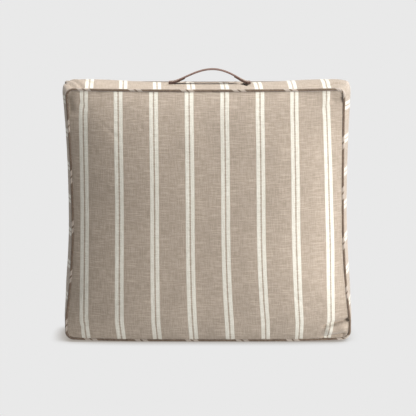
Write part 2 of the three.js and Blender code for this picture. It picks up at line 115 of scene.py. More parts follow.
class CushionForm(bpy.types.PropertyGroup):
    """Sizes of the filled cushion."""

    foot_flare: length("Foot flare", 18 * MM, "How much wider each side is at the foot than at the waist")
    top_flare: length("Top flare", 5 * MM, "How much wider each side is at the top than at the waist")
    waist_height: length("Waist height", 300 * MM, "Height of the narrowest place")
    top_lean: length("Lean", 6 * MM, "How far the top edge has leaned to the left")
    lean_from: length("Lean from", 200 * MM, "Height above which it leans")
    top_corner_lift: length("Top corner lift", 3 * MM, "How far the top corners stand above the middle")
    foot_corner_lift: length("Foot corner lift", 4.7 * MM, "How far the foot corners lift off the floor")
    corner_radius: length("Corner radius", 16 * MM, "Radius of the seam at a corner, seen from the front")
    crown: length("Crown", CROWN, "How far the middle of a panel stands in front of its seam")
    crown_power: FloatProperty(name="Crown power", default=4.5, description="Higher is flatter in the middle")
    top_swell: length("Top swell", 7 * MM, "How far the boxing stands above the seams at the handle")
    crest_swell: length("Crest swell", 12.5 * MM, "How far it stands above them towards the corners")
    ear_swell: length("Ear swell", 15.5 * MM, "How far it stands outside them at the top corners")
    side_swell: length("Side swell", 12.5 * MM, "How far it stands outside them at mid height")
    foot_swell: length("Foot swell", 5.5 * MM, "How far it stands outside them low down")
    side_shift: length("Side shift", 2.5 * MM, "How far the boxing leans to the right high up the sides")
    ears_from: length("Ears from", 370 * MM, "Height above which the corners fill out into ears")
    cut_half_width: length("Cut half width", 301 * MM, "Half the width that a panel is cut to")
    cut_half_height: length("Cut half height", 279 * MM, "Half the height that a panel is cut to")
    cut_depth: length("Cut depth", 127 * MM, "Width that the boxing strip is cut to, seam to seam")
    cells: IntProperty(name="Cells", default=96, description="Grid cells along a panel's side")
    depth_cells: IntProperty(name="Depth cells", default=20, description="Grid cells from seam to seam")


class CushionCloth(bpy.types.PropertyGroup):
    """The striped cloth, its colours and its welts."""

    thickness: length("Thickness", 1.2 * MM, "Thickness of the cover cloth")
    stripe_pitch: length("Stripe pitch", 77 * MM, "Distance from one pair of stripes to the next")
    stripe_gap: length("Stripe gap", 3.2 * MM, "Gap between the two stripes of a pair")
    stripe_width: length("Stripe width", 7.8 * MM, "Width of one stripe")
    ground: colour("Ground", "#a7998b", "Taupe ground between the stripes")
    ground_dark: colour("Ground shade", "#96897a", "Darker yarns of the ground")
    stripe: colour("Stripe", "#d5d1c6", "Cream stripes")
    stripe_dark: colour("Stripe shade", "#c8c3b6", "Darker yarns of the stripes")
    # The welt's colours are darker than the cloth the bias strip is cut from. This is partly the strip's own
    # darker tone and partly painted shade of the groove between panel and boxing. The welt stripe is the
    # cream stripe darkened by that painted shade.
    welt: colour("Welt", "#6e5d4d", "Ground of the bias strip round the piping")
    welt_dark_with_groove_shade: colour("Welt shade", "#5c4c3e", "Darker yarns of the bias strip")
    welt_stripe_with_groove_shade: colour("Welt stripe", "#a2968a", "Stripes where they cross the bias strip")
    casing: colour("Insert casing", "#efede6", "Cotton casing of the insert")
    wadding: colour("Wadding", "#f6f6f2", "Polyester fibre filling")
    cord: colour("Piping cord", "#e6dfcd", "Cotton cord inside the welts")


class CushionHandle(bpy.types.PropertyGroup):
    """The leather strap and its stitching."""

    thickness: length("Thickness", 2.2 * MM, "Thickness of the strap")
    arch_half_span: length("Arch half span", 80 * MM, "Half the distance between the ends of the arch")
    shift: length("Shift", 3.5 * MM, "How far the strap is sewn on to the right of the middle")
    crest_shift: length("Crest shift", 6 * MM, "How far the crest of the arch is off the middle")
    turned_to: length("Turned back to", 52 * MM, "How near the middle the turned-back end reaches")
    skive: length("Skive", 24 * MM, "Length over which the turned-back end is pared thin")
    stitch_length: length("Stitch length", 2.9 * MM, "Length of one stitch")
    stitch_gap: length("Stitch gap", 0.7 * MM, "Gap between two stitches")
    thread_radius: length("Thread radius", 0.42 * MM, "Radius of the thread")
    leather: colour("Leather", "#77594d", "Face of the strap")
    leather_dark: colour("Leather shade", "#553d34", "Burnished edges and the valleys of the grain")
    thread: colour("Thread", "#b9a896", "Waxed thread")


class CushionZip(bpy.types.PropertyGroup):
    """The zip in the bottom boxing."""

    tooth_pitch: length("Tooth pitch", 1.6 * MM, "Distance from one turn of the coil to the next")
    wire_radius: length("Wire radius", 0.32 * MM, "Radius of the coil's monofilament")
    fold_half_gap: length("Fold half gap", 4.3 * MM, "Half the gap between the two turned-in folds")
    fold_rise: length("Fold rise", 3.3 * MM, "Height of the turned-in edge")
    tape: colour("Tape", "#b9a893", "Woven zip tape")
    coil: colour("Coil", "#c6b8a4", "Nylon coil")
    brass: colour("Brass", "#a58d5c", "Antiqued slider and stops")


class CushionStage(bpy.types.PropertyGroup):
    """Camera, lights and floor."""

    distance: length("Camera distance", 4.0, "From the camera to the front seam")
    elevation: FloatProperty(
        name="Elevation", default=math.radians(11.5), description="How far the camera looks down",
        subtype="ANGLE",
    )
    aim_height: length("Aim height", 0.2945, "Height that the camera looks at")
    focal_length: FloatProperty(name="Focal length", default=162.6, description="Lens on a 36 mm sensor")
    key_power: FloatProperty(name="Key", default=20.8, description="Softbox at the right", unit="POWER")
    top_power: FloatProperty(name="Top", default=31.5, description="Softbox overhead", unit="POWER")
    side_power: FloatProperty(name="Side", default=11.0, description="Softbox beside it", unit="POWER")
    ambient: FloatProperty(name="Ambient", default=0.34, description="Strength of the room's soft light")
    bounce: FloatProperty(name="Bounce", default=0.9, description="Strength of the light off the floor")
    floor: colour("Floor", "#e9e9e9", "Pale floor and background")
    # Colour of the painted contact shadow on the floor.
    painted_contact_shadow: colour("Contact", "#a39c94", "Floor where the cushion meets it")


# ---- Curves and grids of points ----

Patch = namedtuple("Patch", "points uv")  # a grid of points and the cloth or strap coordinates at each
X_AXIS, Y_AXIS, Z_AXIS = np.eye(3)
GOLDEN_ANGLE = 2.39996  # radians


def smooth(t):
    """0 up to 0, 1 from 1 on, and three t squared less two t cubed between."""
    t = np.clip(t, 0, 1)
    return t * t * (3 - 2 * t)


def ripple(u, v, wavelength, turn=0.0):
    """Gentle unevenness about 0: the mean of six sine waves of about the wavelength, each turned by the
    golden angle from the last and a little shorter."""
    total = 0
    for k in range(6):
        angle = turn + GOLDEN_ANGLE * k
        reach = 2 * math.pi / (wavelength * (1.25 - 0.09 * k))
        total = total + np.sin(reach * (u * math.cos(angle) + v * math.sin(angle)) + 1.7 * k + 5 * turn)
    return total / 6


def unit(vectors):
    """The vectors at length 1."""
    return vectors / np.maximum(np.linalg.norm(vectors, axis=-1, keepdims=True), 1e-12)


def distance_along(points):
    """Distance along a line of points, from 0 at the first."""
    return np.cumsum(np.r_[0, np.linalg.norm(np.diff(points, axis=0), axis=1)])


def circle(radius, steps):
    """A closed circle about 0, counterclockwise, its first point repeated at its end."""
    angle = np.linspace(0, 2 * math.pi, steps + 1)
    return radius * np.stack([np.cos(angle), np.sin(angle)], -1)


def normals(points):
    """The direction square to a grid at each point: the cross product of its two slopes."""
    return unit(np.cross(np.gradient(points, axis=0), np.gradient(points, axis=1)))


def groove(u, v, start, end, width, depth):
    """Depth of a groove along a straight line: the depth times a bell curve of the distance to it."""
    a, b = np.array(start), np.array(end)
    along = ((u - a[0]) * (b - a)[0] + (v - a[1]) * (b - a)[1]) / ((b - a) @ (b - a))
    t = np.clip(along, 0, 1)
    squared = (u - a[0] - t * (b - a)[0]) ** 2 + (v - a[1] - t * (b - a)[1]) ** 2
    return depth * np.exp(-squared / width**2)


# ---- The cushion's form ----


def rounded(px, py, radius):
    """A place on the unit square's edge, with each corner turned on a quarter circle: past the start of
    the circle, the share of the way to the corner becomes the angle round it."""
    inner = 1 - radius
    qx = (np.abs(px) - inner) / radius
    qy = (np.abs(py) - inner) / radius
    angle = np.where(qy >= qx, math.pi / 2 - math.pi / 4 * qx, math.pi / 4 * qy)
    corner = (qx > 0) & (qy > 0)
    x = np.where(corner, np.sign(px) * (inner + radius * np.cos(angle)), px)
    y = np.where(corner, np.sign(py) * (inner + radius * np.sin(angle)), py)
    return x, y


def square_edge(t):
    """The place on the unit square's edge at t: 0 is the bottom left corner, 1 the bottom right, 2 the top
    right and 3 the top left."""
    turns = np.arange(-1, 7)
    x = np.array([-1, -1, 1, 1, -1, -1, 1, 1])
    z = np.array([1, -1, -1, 1, 1, -1, -1, 1])
    return np.interp(t, turns, x), np.interp(t, turns, z)


def waist(form):
    """Half the width at the narrowest place."""
    return FOOT_HALF_WIDTH - form.foot_flare


CREST_SAG = 0.9  # share of the top corners' lift by which the middle of the crest lies low
EASING = 1.5  # power that lets the lean and the ears set in gently


def place(form, u, v, inset):
    """A place in the unit square carried to the front view: heights run between the two edges, and widths
    grow from the waist with the square of the distance above or below it, and lean with the height."""
    low = SEAM_FOOT + form.foot_corner_lift * u**4 + inset
    high = SEAM_CREST + form.top_corner_lift * (u**2 - CREST_SAG) - inset
    z = low + (high - low) * (v + 1) / 2
    above = np.clip((z - form.waist_height) / (SEAM_CREST - form.waist_height), 0, None)
    below = (form.waist_height - z) / (form.waist_height - 3 * form.corner_radius)
    half = waist(form) + form.top_flare * above**2 + form.foot_flare * np.clip(below, 0, 1) ** 2
    lean = np.clip((z - form.lean_from) / (SEAM_CREST - form.lean_from), 0, None) ** EASING
    return u * (half - inset) - form.top_lean * lean, z


def fullness(t, power):
    """1 in the middle and 0 at the seam: 1 less the power of the distance out."""
    return 1 - np.abs(t) ** power


def rounded_grid(form, cells):
    """A square grid from -1 to 1, and the same grid with its edge rounded at the corners, the rounding
    dying away inwards with the tenth power of the distance out."""
    a, b = np.meshgrid(np.linspace(-1, 1, cells + 1), np.linspace(-1, 1, cells + 1), indexing="ij")
    reach = np.maximum(np.maximum(np.abs(a), np.abs(b)), 1e-9)
    edge_a, edge_b = rounded(a / reach, b / reach, form.corner_radius / waist(form))
    fade = reach**10
    return a, b, a + (edge_a - a / reach) * fade, b + (edge_b - b / reach) * fade


def panel_surface(form, cells, side, inset=0.0):
    """A panel: the rounded grid carried to the front view and crowned by the product of two fullnesses."""
    a, b, u, v = rounded_grid(form, cells)
    x, z = place(form, u, v, inset)
    crown = form.crown * fullness(a, form.crown_power) * fullness(b, form.crown_power)
    return np.stack([x, side * (HALF_DEPTH - inset + crown), z], -1)


def seam_line(form, t, inset=0.0):
    """The seam in the front view at t, and the outward direction there, square to the line between two
    places a little before and after."""
    radius = form.corner_radius / waist(form)
    step = 0.002
    x, z = place(form, *rounded(*square_edge(t), radius), inset)
    x0, z0 = place(form, *rounded(*square_edge(t - step), radius), inset)
    x1, z1 = place(form, *rounded(*square_edge(t + step), radius), inset)
    return np.stack([x, z], -1), unit(np.stack([z1 - z0, x0 - x1], -1))


def boxing_surface(form, t, y, inset=0.0):
    """The boxing at t round the seam and y across it: swollen as a parabola between the two seams, sideways
    and upward by two depths that reach their full value halfway into a corner, and never below the floor."""
    point, outward = seam_line(form, t, inset)
    point, outward = point[:, None], outward[:, None]
    low = smooth(point[..., 1] / (form.waist_height / 2))
    high = np.clip((point[..., 1] - form.ears_from) / (SEAM_CREST - form.ears_from), 0, 1) ** EASING
    sideways = form.foot_swell + (form.side_swell - form.foot_swell) * low
    sideways = sideways + (form.ear_swell - form.side_swell) * high
    from_handle = smooth((np.abs(point[..., 0]) - FOOT_HIGH.x) / (FOOT_HALF_WIDTH / 2))
    crest = form.top_swell + (form.crest_swell - form.top_swell) * from_handle
    upward = np.where(outward[..., 1] > 0, crest, form.top_swell)
    turned = np.clip(outward * math.sqrt(2), -1, 1)
    bow = 1 - (y[None] / HALF_DEPTH) ** 2
    shift = form.side_shift * np.clip((point[..., 1] - form.waist_height) / (200 * MM), 0, 1)
    x = point[..., 0] + (turned[..., 0] * sideways + np.abs(turned[..., 0]) * shift) * bow
    z = np.maximum(point[..., 1] + turned[..., 1] * upward * bow, inset)
    return np.stack([x, np.broadcast_to(y[None], x.shape), z], -1)


def first_column(form):
    """The grid column at the foot where the boxing strip ends and the zipped length begins."""
    return round(form.cells * (ZIP_CLOTH_HIGH.x / FOOT_HALF_WIDTH + 1) / 2)


def strip_coordinate(form, t):
    """Distance along the boxing's cut from the middle of the top, to the right, at t round the seam."""
    w, h = form.cut_half_width, form.cut_half_height
    marks = [3 * w + 2 * h, w + 2 * h, w, -w, -w - 2 * h, -3 * w - 2 * h]
    return np.interp(t, np.arange(6), marks)


# ---- Making meshes ----


def fill_mesh(mesh, points, quads):
    """Puts points and four-cornered faces into an empty mesh."""
    mesh.vertices.add(len(points))
    mesh.vertices.foreach_set("co", points.astype(np.float32).ravel())
    mesh.loops.add(quads.size)
    mesh.loops.foreach_set("vertex_index", quads.astype(np.int32).ravel())
    mesh.polygons.add(len(quads))
    mesh.polygons.foreach_set("loop_start", np.arange(0, quads.size, 4, dtype=np.int32))
    mesh.update(calc_edges=True)


def grid_quads(rows, columns):
    """Corner numbers of the faces of a grid numbered row by row."""
    at = np.arange(rows * columns).reshape(rows, columns)
    corners = (at[:-1, :-1], at[1:, :-1], at[1:, 1:], at[:-1, 1:])
    return np.stack([c.ravel() for c in corners], -1)


def build(name, patches, material, weld=0.0, sharp=None):
    """Makes one piece from patches: each patch is a grid, its faces turned by the right-hand rule of rows
    then columns. Points nearer than weld are joined, and edges sharper than the angle stay crisp."""
    points = np.concatenate([p.points.reshape(-1, 3) for p in patches])
    starts = np.cumsum([0] + [p.points[..., 0].size for p in patches[:-1]])
    quads = np.concatenate([grid_quads(*p.points.shape[:2]) + s for p, s in zip(patches, starts)])
    mesh = bpy.data.meshes.new(name)
    fill_mesh(mesh, points, quads)
    uv = np.concatenate([p.uv.reshape(-1, 2) for p in patches])[quads.ravel()]
    mesh.uv_layers.new(name="cloth").data.foreach_set("uv", uv.astype(np.float32).ravel())
    if weld:
        made = bmesh.new()
        made.from_mesh(mesh)
        bmesh.ops.remove_doubles(made, verts=made.verts, dist=weld)
        bmesh.ops.dissolve_degenerate(made, edges=made.edges, dist=weld / 10)
        bmesh.ops.recalc_face_normals(made, faces=made.faces)
        made.to_mesh(mesh)
        made.free()
    mesh.shade_smooth()
    if sharp:
        mesh.set_sharp_from_angle(angle=math.radians(sharp))
    mesh.materials.append(material)
    made = bpy.data.objects.new(name, mesh)
    bpy.context.scene.collection.objects.link(made)
    return made


def thicken(obj, thickness):
    """Gives a sheet its thickness on the inward side."""
    wall = obj.modifiers.new("wall", "SOLIDIFY")
    wall.thickness = thickness
    wall.offset = -1
    return obj


def settle(obj, body, slot, *nodes):
    """Rides a finished piece on its body and hides the nodes that it stands for; the slot that names its
    finish is not used.
    """
    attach(obj, body)
    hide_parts(*nodes)
    return obj


def sweep(centre, sideways, upward, section, along):
    """A section carried along a line: each ring is the line's point plus the section's two distances along
    the sideways and upward directions, which are one for each point or one for all. The section repeats
    its first point at its end."""
    sideways, upward = (np.broadcast_to(axis, centre.shape)[:, None] for axis in (sideways, upward))
    points = centre[:, None] + section[None, :, 0, None] * sideways + section[None, :, 1, None] * upward
    uv = np.stack(np.broadcast_arrays(along[:, None], distance_along(section)[None]), -1)
    return Patch(points, uv)


def rounded_section(half_width, half_height, radius, steps=4):
    """A closed rectangle with quarter circles at its corners, counterclockwise."""
    turn = np.linspace(0, math.pi / 2, steps + 1)
    corners = []
    for k, (sx, sz) in enumerate(((1, -1), (1, 1), (-1, 1), (-1, -1))):
        angle = turn - math.pi / 2 + k * math.pi / 2
        x = sx * (half_width - radius) + radius * np.cos(angle)
        z = sz * (half_height - radius) + radius * np.sin(angle)
        corners.append(np.stack([x, z], -1))
    loop = np.concatenate(corners)
    return np.concatenate([loop, loop[:1]])


def outline_of(low, high, radius):
    """A rounded rectangle in plan that fills a box."""
    outline = rounded_section((high.x - low.x) / 2, (high.y - low.y) / 2, radius)
    return outline + np.array([(low.x + high.x) / 2, (low.y + high.y) / 2])


def fan(ring, towards):
    """A cap: rings shrinking from the rim to the middle point."""
    return np.stack([ring + (towards - ring) * t for t in (0, 0.5, 1)], 0)


POLE = 1e-6  # scale of the ring that closes a plate's face, whose points are welded into one


def plate(outline, low, high, edge):
    """A flat plate standing on an outline in plan, its two rims rounded to a quarter circle of the edge
    radius: rings from the middle of the underside, out round the rims and in to the middle of the top."""
    centre = outline[:-1].mean(0)
    span = np.abs(outline - centre).max(0)
    turn = np.linspace(0, math.pi / 2, 4)
    insets = np.r_[edge * (1 - np.sin(turn)), edge * (1 - np.cos(turn))]
    heights = np.r_[low, low + edge * (1 - np.cos(turn)), high - edge * (1 - np.sin(turn)), high]
    scales = [POLE, *(1 - inset / span for inset in insets), POLE]
    rings = [
        np.column_stack([centre + (outline - centre) * scale, np.full(len(outline), z)])
        for scale, z in zip(scales, heights)
    ]
    points = np.stack(rings)
    return Patch(points, points[..., :2].copy())


# ---- Relaxing the cover as cloth ----

PRESSURE = 1.2
FRAMES = 22
REACH = 9 * MM  # furthest that the cloth may leave the form that it starts from
UNEVEN = 1.6 * MM  # height of the unevenness that a panel starts with, from which its folds grow
UNEVEN_WAVE = 95 * MM
RESTING = 12 * MM  # cloth lower than this is held by the floor
STRAP_FOOT_X = 75 * MM  # middle of each foot of the strap, which is stitched through the boxing
STRAP_FOOT_HALF_LENGTH = 13 * MM
STRAP_FOOT_HALF_WIDTH = 11 * MM


def sewn_cover(form):
    """Front panel, back panel and boxing as grids of points that share their seams, relaxed as cloth."""
    n, m = form.cells, form.depth_cells
    t = np.arange(4 * n) / n
    depth = np.linspace(-HALF_DEPTH, HALF_DEPTH, m + 1)
    front, back = (panel_surface(form, n, side) for side in (-1, 1))
    boxing = boxing_surface(form, t, depth)

    # Number the points: two panels, then the boxing's inner rows, whose outer rows are the panels' edges
    size = (n + 1) ** 2
    at_front = np.arange(size).reshape(n + 1, n + 1)
    at_back = at_front + size
    up, down = np.arange(n), np.arange(n, 0, -1)
    loop_i = np.concatenate([up, np.full(n, n), down, np.zeros(n, int)])
    loop_j = np.concatenate([np.zeros(n, int), up, np.full(n, n), down])
    inner = 2 * size + np.arange(4 * n * (m - 1)).reshape(4 * n, m - 1)
    at_boxing = np.column_stack([at_front[loop_i, loop_j], inner, at_back[loop_i, loop_j]])

    def gather(front_points, back_points, boxing_points):
        middle = boxing_points[:, 1:-1].reshape(-1, 3)
        return np.concatenate([front_points.reshape(-1, 3), back_points.reshape(-1, 3), middle])

    wrapped = np.concatenate([at_boxing, at_boxing[:1]])
    faces = [at.ravel()[grid_quads(*at.shape)] for at in (at_front, at_back, wrapped)]
    quads = np.concatenate([faces[0], faces[1][:, ::-1], faces[2][:, ::-1]])

    # The cut: the same cloth as a straight-sided box, whose edge lengths are the flat pieces' own
    _, _, u, v = rounded_grid(form, n)
    flat = np.stack([u * form.cut_half_width, 0 * u, v * form.cut_half_height], -1)
    offset = np.array([0, form.cut_depth / 2, 0])
    share = np.linspace(0, 1, m + 1)[None, :, None]
    cut_boxing = flat[loop_i, loop_j][:, None] - offset + 2 * offset * share

    points = gather(front, back, boxing)
    cut = gather(flat - offset, flat + offset, cut_boxing)
    held = points[:, 2] < RESTING
    held[at_boxing[:, [0, -1]]] = True
    along_foot = np.abs(np.abs(points[:, 0]) - STRAP_FOOT_X) < STRAP_FOOT_HALF_LENGTH
    held |= along_foot & (np.abs(points[:, 1]) < STRAP_FOOT_HALF_WIDTH) & (points[:, 2] > SEAM_CREST)
    begun = points.copy()
    begun[:, 1] += UNEVEN * ~held * ripple(points[:, 0] + points[:, 1], points[:, 2], UNEVEN_WAVE)
    moved = relax_cloth(begun, quads, cut, held) - points
    far = np.linalg.norm(moved, axis=1, keepdims=True)
    points = points + moved * np.tanh(far / REACH) * REACH / np.maximum(far, 1e-9)
    points[:, 2] = np.maximum(points[:, 2], 0)
    return points[at_front], points[at_back], points[at_boxing]


def relax_cloth(points, quads, cut, held):
    """Runs the cloth solver with pressure inside and no gravity, and returns where the points come to."""
    scene = bpy.context.scene
    mesh = bpy.data.meshes.new("cover_at_work")
    fill_mesh(mesh, points, quads)
    cover = bpy.data.objects.new("cover_at_work", mesh)
    scene.collection.objects.link(cover)
    cover.shape_key_add(name="Basis")
    rest = cover.shape_key_add(name="cut")
    rest.data.foreach_set("co", cut.astype(np.float32).ravel())
    group = cover.vertex_groups.new(name="held")
    group.add(np.flatnonzero(held).tolist(), 1.0, "REPLACE")
    cloth = cover.modifiers.new("cloth", "CLOTH")
    settings = cloth.settings
    settings.quality = 6
    settings.mass = 0.005
    settings.tension_stiffness = settings.compression_stiffness = 40
    settings.shear_stiffness = 12
    settings.bending_stiffness = 0.3
    settings.vertex_group_mass = "held"
    settings.pin_stiffness = 6
    settings.use_pressure = True
    settings.uniform_pressure_force = PRESSURE
    settings.rest_shape_key = rest
    settings.effector_weights.gravity = 0
    cloth.collision_settings.use_collision = False
    cloth.point_cache.frame_end = FRAMES
    for number in range(1, FRAMES + 1):
        scene.frame_set(number)
    evaluated = cover.evaluated_get(bpy.context.evaluated_depsgraph_get())
    result = evaluated.to_mesh()
    moved = np.empty(len(points) * 3, np.float32)
    result.vertices.foreach_get("co", moved)
    evaluated.to_mesh_clear()
    scene.frame_set(1)
    bpy.data.objects.remove(cover)
    bpy.data.meshes.remove(mesh)
    return moved.reshape(-1, 3).astype(float)


# ---- Making materials ----


def add(tree, kind, inputs=None, out=0, **settings):
    """Adds a shader node with its settings, gives each input a value or a link, and returns an output."""
    node = tree.nodes.new("ShaderNode" + kind)
    for name, value in settings.items():
        setattr(node, name, value)
    for key, value in (inputs or {}).items():
        if isinstance(value, bpy.types.NodeSocket):
            tree.links.new(value, node.inputs[key])
        else:
            node.inputs[key].default_value = value
    return node.outputs[out]


MIX_A, MIX_B, MIX_OUT = 6, 7, 2  # a Mix node's colour sockets


def blend_colours(tree, share, first, second):
    """The first colour where share is 0 and the second where it is 1."""
    first, second = (c if isinstance(c, bpy.types.NodeSocket) else (*c, 1) for c in (first, second))
    return add(tree, "Mix", {0: share, MIX_A: first, MIX_B: second}, MIX_OUT, data_type="RGBA")


def new_material(name, **constants):
    """A material with a Principled shader whose constant inputs are set on its own sockets."""
    made = bpy.data.materials.new(name)
    made.use_nodes = True
    sockets = made.node_tree.nodes["Principled BSDF"].inputs
    for key, value in constants.items():
        sockets[key.replace("_", " ")].default_value = value
    return made, made.node_tree, sockets


def dress(tree, sockets, shown, height=None, strength=0.0, relief=0.0):
    """Gives a shader its colour and, from a height, a relief of so many metres."""
    tree.links.new(shown, sockets["Base Color"])
    if height is not None:
        inputs = {"Strength": strength, "Distance": relief, "Height": height}
        tree.links.new(add(tree, "Bump", inputs), sockets["Normal"])


def darker(tone, share):
    """A colour at a share of its brightness."""
    return tuple(share * c for c in tone)


def ramp(tree, value, low, high, to_low=0.0, to_high=1.0):
    """Turns a range of values smoothly into another."""
    inputs = {"Value": value, "From Min": low, "From Max": high, "To Min": to_low, "To Max": to_high}
    return add(tree, "MapRange", inputs, interpolation_type="SMOOTHSTEP")


def streaks(tree, place, across, along, detail=2.0):
    """Noise stretched into streaks: across and along are the sizes of one, in metres."""
    scaled = add(tree, "Mapping", {"Vector": place, "Scale": (1 / across, 1 / along, 1)})
    inputs = {"Vector": scaled, "Scale": 1.0, "Detail": detail, "Roughness": 0.6}
    return add(tree, "TexNoise", inputs, noise_dimensions="2D")


def wave(tree, value, period):
    """A sine of a length, with a period in metres."""
    turns = add(tree, "Math", {0: value, 1: 2 * math.pi / period}, operation="MULTIPLY")
    return add(tree, "Math", {0: turns}, operation="SINE")


def plain_weave(tree, u, v, spacing):
    """Height of a plain weave: the product of two sines, one for each set of threads."""
    inputs = {0: wave(tree, u, 2 * spacing), 1: wave(tree, v, 2 * spacing)}
    return add(tree, "Math", inputs, operation="MULTIPLY")


def cloth_place(tree):
    """The cloth's own coordinates in metres, and its two distances apart."""
    place = add(tree, "UVMap", uv_map="cloth")
    u = add(tree, "SeparateXYZ", {0: place}, 0)
    v = add(tree, "SeparateXYZ", {0: place}, 1)
    return place, u, v


THREAD_SPACING = 1.1 * MM  # about twice the real spacing, so that the weave shows close by
SLUB_THICKNESS = 1.9 * MM  # slubs drawn about twice as thick as spun ones, so that they show
SLUB_LENGTH = 17 * MM
HEATHER_RANGE = 0.78, 1.24  # sums of the two yarns' noises that are all dark and all light
SLUB_RANGE = 0.62, 0.74
SLUB_SHOWS = 0.35
SLUB_LIGHT = 1.35  # how many times as bright as the ground a slub is
WASH_RANGE = 0.95, 1.04  # how unevenly the cloth has faded, over places of a hand's width
STRIPE_JOG = 0.6 * MM  # how far the weft moves a stripe's edge to and fro
STRIPE_SOFTNESS = 0.5 * MM


def striped_cloth(name, cloth, ground, ground_dark, stripe, stripe_dark, bloom=0.22):
    """Slub cotton in a plain weave, yarn dyed and washed: a dry matt face, heathered by thick and thin
    yarns both ways, with pairs of cream stripes woven along it and a faint bloom of loose fibre, which is
    stronger where the cloth is stretched round a cord."""
    made, tree, sockets = new_material(
        name, Roughness=0.92, Specular_IOR_Level=0.25, Sheen_Weight=bloom, Sheen_Roughness=0.5
    )
    place, u, v = cloth_place(tree)
    weft = streaks(tree, place, SLUB_LENGTH, SLUB_THICKNESS)
    warp = streaks(tree, place, SLUB_THICKNESS, 1.6 * SLUB_LENGTH)
    both = add(tree, "Math", {0: weft, 1: warp}, operation="ADD")
    heather = ramp(tree, both, *HEATHER_RANGE)
    slub = ramp(tree, streaks(tree, place, 2.2 * SLUB_LENGTH, 1.2 * SLUB_THICKNESS, 0.0), *SLUB_RANGE)
    fade = streaks(tree, place, 190 * MM, 230 * MM)

    # Distance from the middle of the nearest pair, its edges a little uneven where the weft crosses
    pitch = cloth.stripe_pitch
    wrapped = add(tree, "Math", {0: u, 1: pitch}, operation="FLOORED_MODULO")
    middle = add(tree, "Math", {0: wrapped, 1: pitch / 2}, operation="SUBTRACT")
    away = add(tree, "Math", {0: middle}, operation="ABSOLUTE")
    jog = add(tree, "Math", {0: weft, 1: 2 * STRIPE_JOG, 2: -STRIPE_JOG}, operation="MULTIPLY_ADD")
    away = add(tree, "Math", {0: away, 1: jog}, operation="ADD")
    inner = cloth.stripe_gap / 2
    outer = inner + cloth.stripe_width
    starts = ramp(tree, away, inner - STRIPE_SOFTNESS, inner + STRIPE_SOFTNESS)
    ends = ramp(tree, away, outer - STRIPE_SOFTNESS, outer + STRIPE_SOFTNESS, 1.0, 0.0)
    striped = add(tree, "Math", {0: starts, 1: ends}, operation="MULTIPLY")

    base = blend_colours(tree, heather, ground_dark, ground)
    lit = tuple(min(1, SLUB_LIGHT * c) for c in ground)
    on_slub = add(tree, "Math", {0: slub, 1: SLUB_SHOWS}, operation="MULTIPLY")
    base = blend_colours(tree, on_slub, base, lit)
    cream = blend_colours(tree, heather, stripe_dark, stripe)
    shown = blend_colours(tree, striped, base, cream)
    worn = ramp(tree, fade, 0.3, 0.7, *WASH_RANGE)
    worn = add(tree, "CombineColor", {0: worn, 1: worn, 2: worn})
    inputs = {0: 1.0, MIX_A: shown, MIX_B: worn}
    shown = add(tree, "Mix", inputs, MIX_OUT, data_type="RGBA", blend_type="MULTIPLY")
    woven = plain_weave(tree, u, v, THREAD_SPACING)
    height = add(tree, "Math", {0: woven, 1: 0.22, 2: both}, operation="MULTIPLY_ADD")
    height = add(tree, "Math", {0: striped, 1: 0.25, 2: height}, operation="MULTIPLY_ADD")
    dress(tree, sockets, shown, height, 0.75, 0.5 * MM)
    return made


def casing_cotton(cloth):
    """Bleached cotton cambric, plain woven: white, matt and fine, a little creased."""
    made, tree, sockets = new_material("bleached_cotton_cambric", Roughness=0.9, Sheen_Weight=0.15)
    place, u, v = cloth_place(tree)
    mottled = ramp(tree, streaks(tree, place, 30 * MM, 42 * MM), 0.3, 0.7)
    woven = plain_weave(tree, u, v, 0.6 * MM)
    height = add(tree, "Math", {0: woven, 1: 0.2, 2: mottled}, operation="MULTIPLY_ADD")
    shown = blend_colours(tree, mottled, darker(cloth.casing, 0.9), cloth.casing)
    dress(tree, sockets, shown, height, 0.5, 0.6 * MM)
    return made


def wadding_fibre(cloth):
    """Siliconised hollow polyester fibre, carded and blown: a white fluff with soft tangled strands."""
    made, tree, sockets = new_material(
        "siliconised_polyester_fibre", Roughness=0.85, Sheen_Weight=0.4, Subsurface_Weight=0.2
    )
    place = add(tree, "TexCoord", out=3)
    tangle = add(tree, "TexNoise", {"Vector": place, "Scale": 160.0, "Detail": 5.0, "Distortion": 1.6})
    tuft = add(tree, "TexNoise", {"Vector": place, "Scale": 28.0, "Detail": 3.0})
    height = add(tree, "Math", {0: tuft, 1: 3.0, 2: tangle}, operation="MULTIPLY_ADD")
    shown = blend_colours(tree, ramp(tree, tuft, 0.3, 0.65), darker(cloth.wadding, 0.86), cloth.wadding)
    dress(tree, sockets, shown, height, 0.9, 2 * MM)
    return made


def twisted_cotton(cloth):
    """Three-strand cotton piping cord, laid: off-white with fine yarn lines that follow the twist."""
    made, tree, sockets = new_material("laid_cotton_cord", Roughness=0.9, Sheen_Weight=0.2)
    _, u, v = cloth_place(tree)
    yarn = wave(tree, add(tree, "Math", {0: u, 1: v}, operation="ADD"), 0.9 * MM)
    shown = blend_colours(tree, ramp(tree, yarn, -1.0, 0.4), darker(cloth.cord, 0.82), cloth.cord)
    dress(tree, sockets, shown, yarn, 0.6, 0.2 * MM)
    return made


def zip_tape_twill(fittings):
    """Polyester zip tape in a herringbone twill: flat and matt, its ribs slanting to and fro."""
    made, tree, sockets = new_material("polyester_twill_tape", Roughness=0.75, Sheen_Weight=0.1)
    _, u, v = cloth_place(tree)
    turning = add(tree, "Math", {0: v, 1: 2.4 * MM}, operation="PINGPONG")
    rib = wave(tree, add(tree, "Math", {0: u, 1: turning}, operation="ADD"), 0.9 * MM)
    shown = blend_colours(tree, ramp(tree, rib, -1.0, 1.0), darker(fittings.tape, 0.8), fittings.tape)
    dress(tree, sockets, shown, rib, 0.5, 0.15 * MM)
    return made


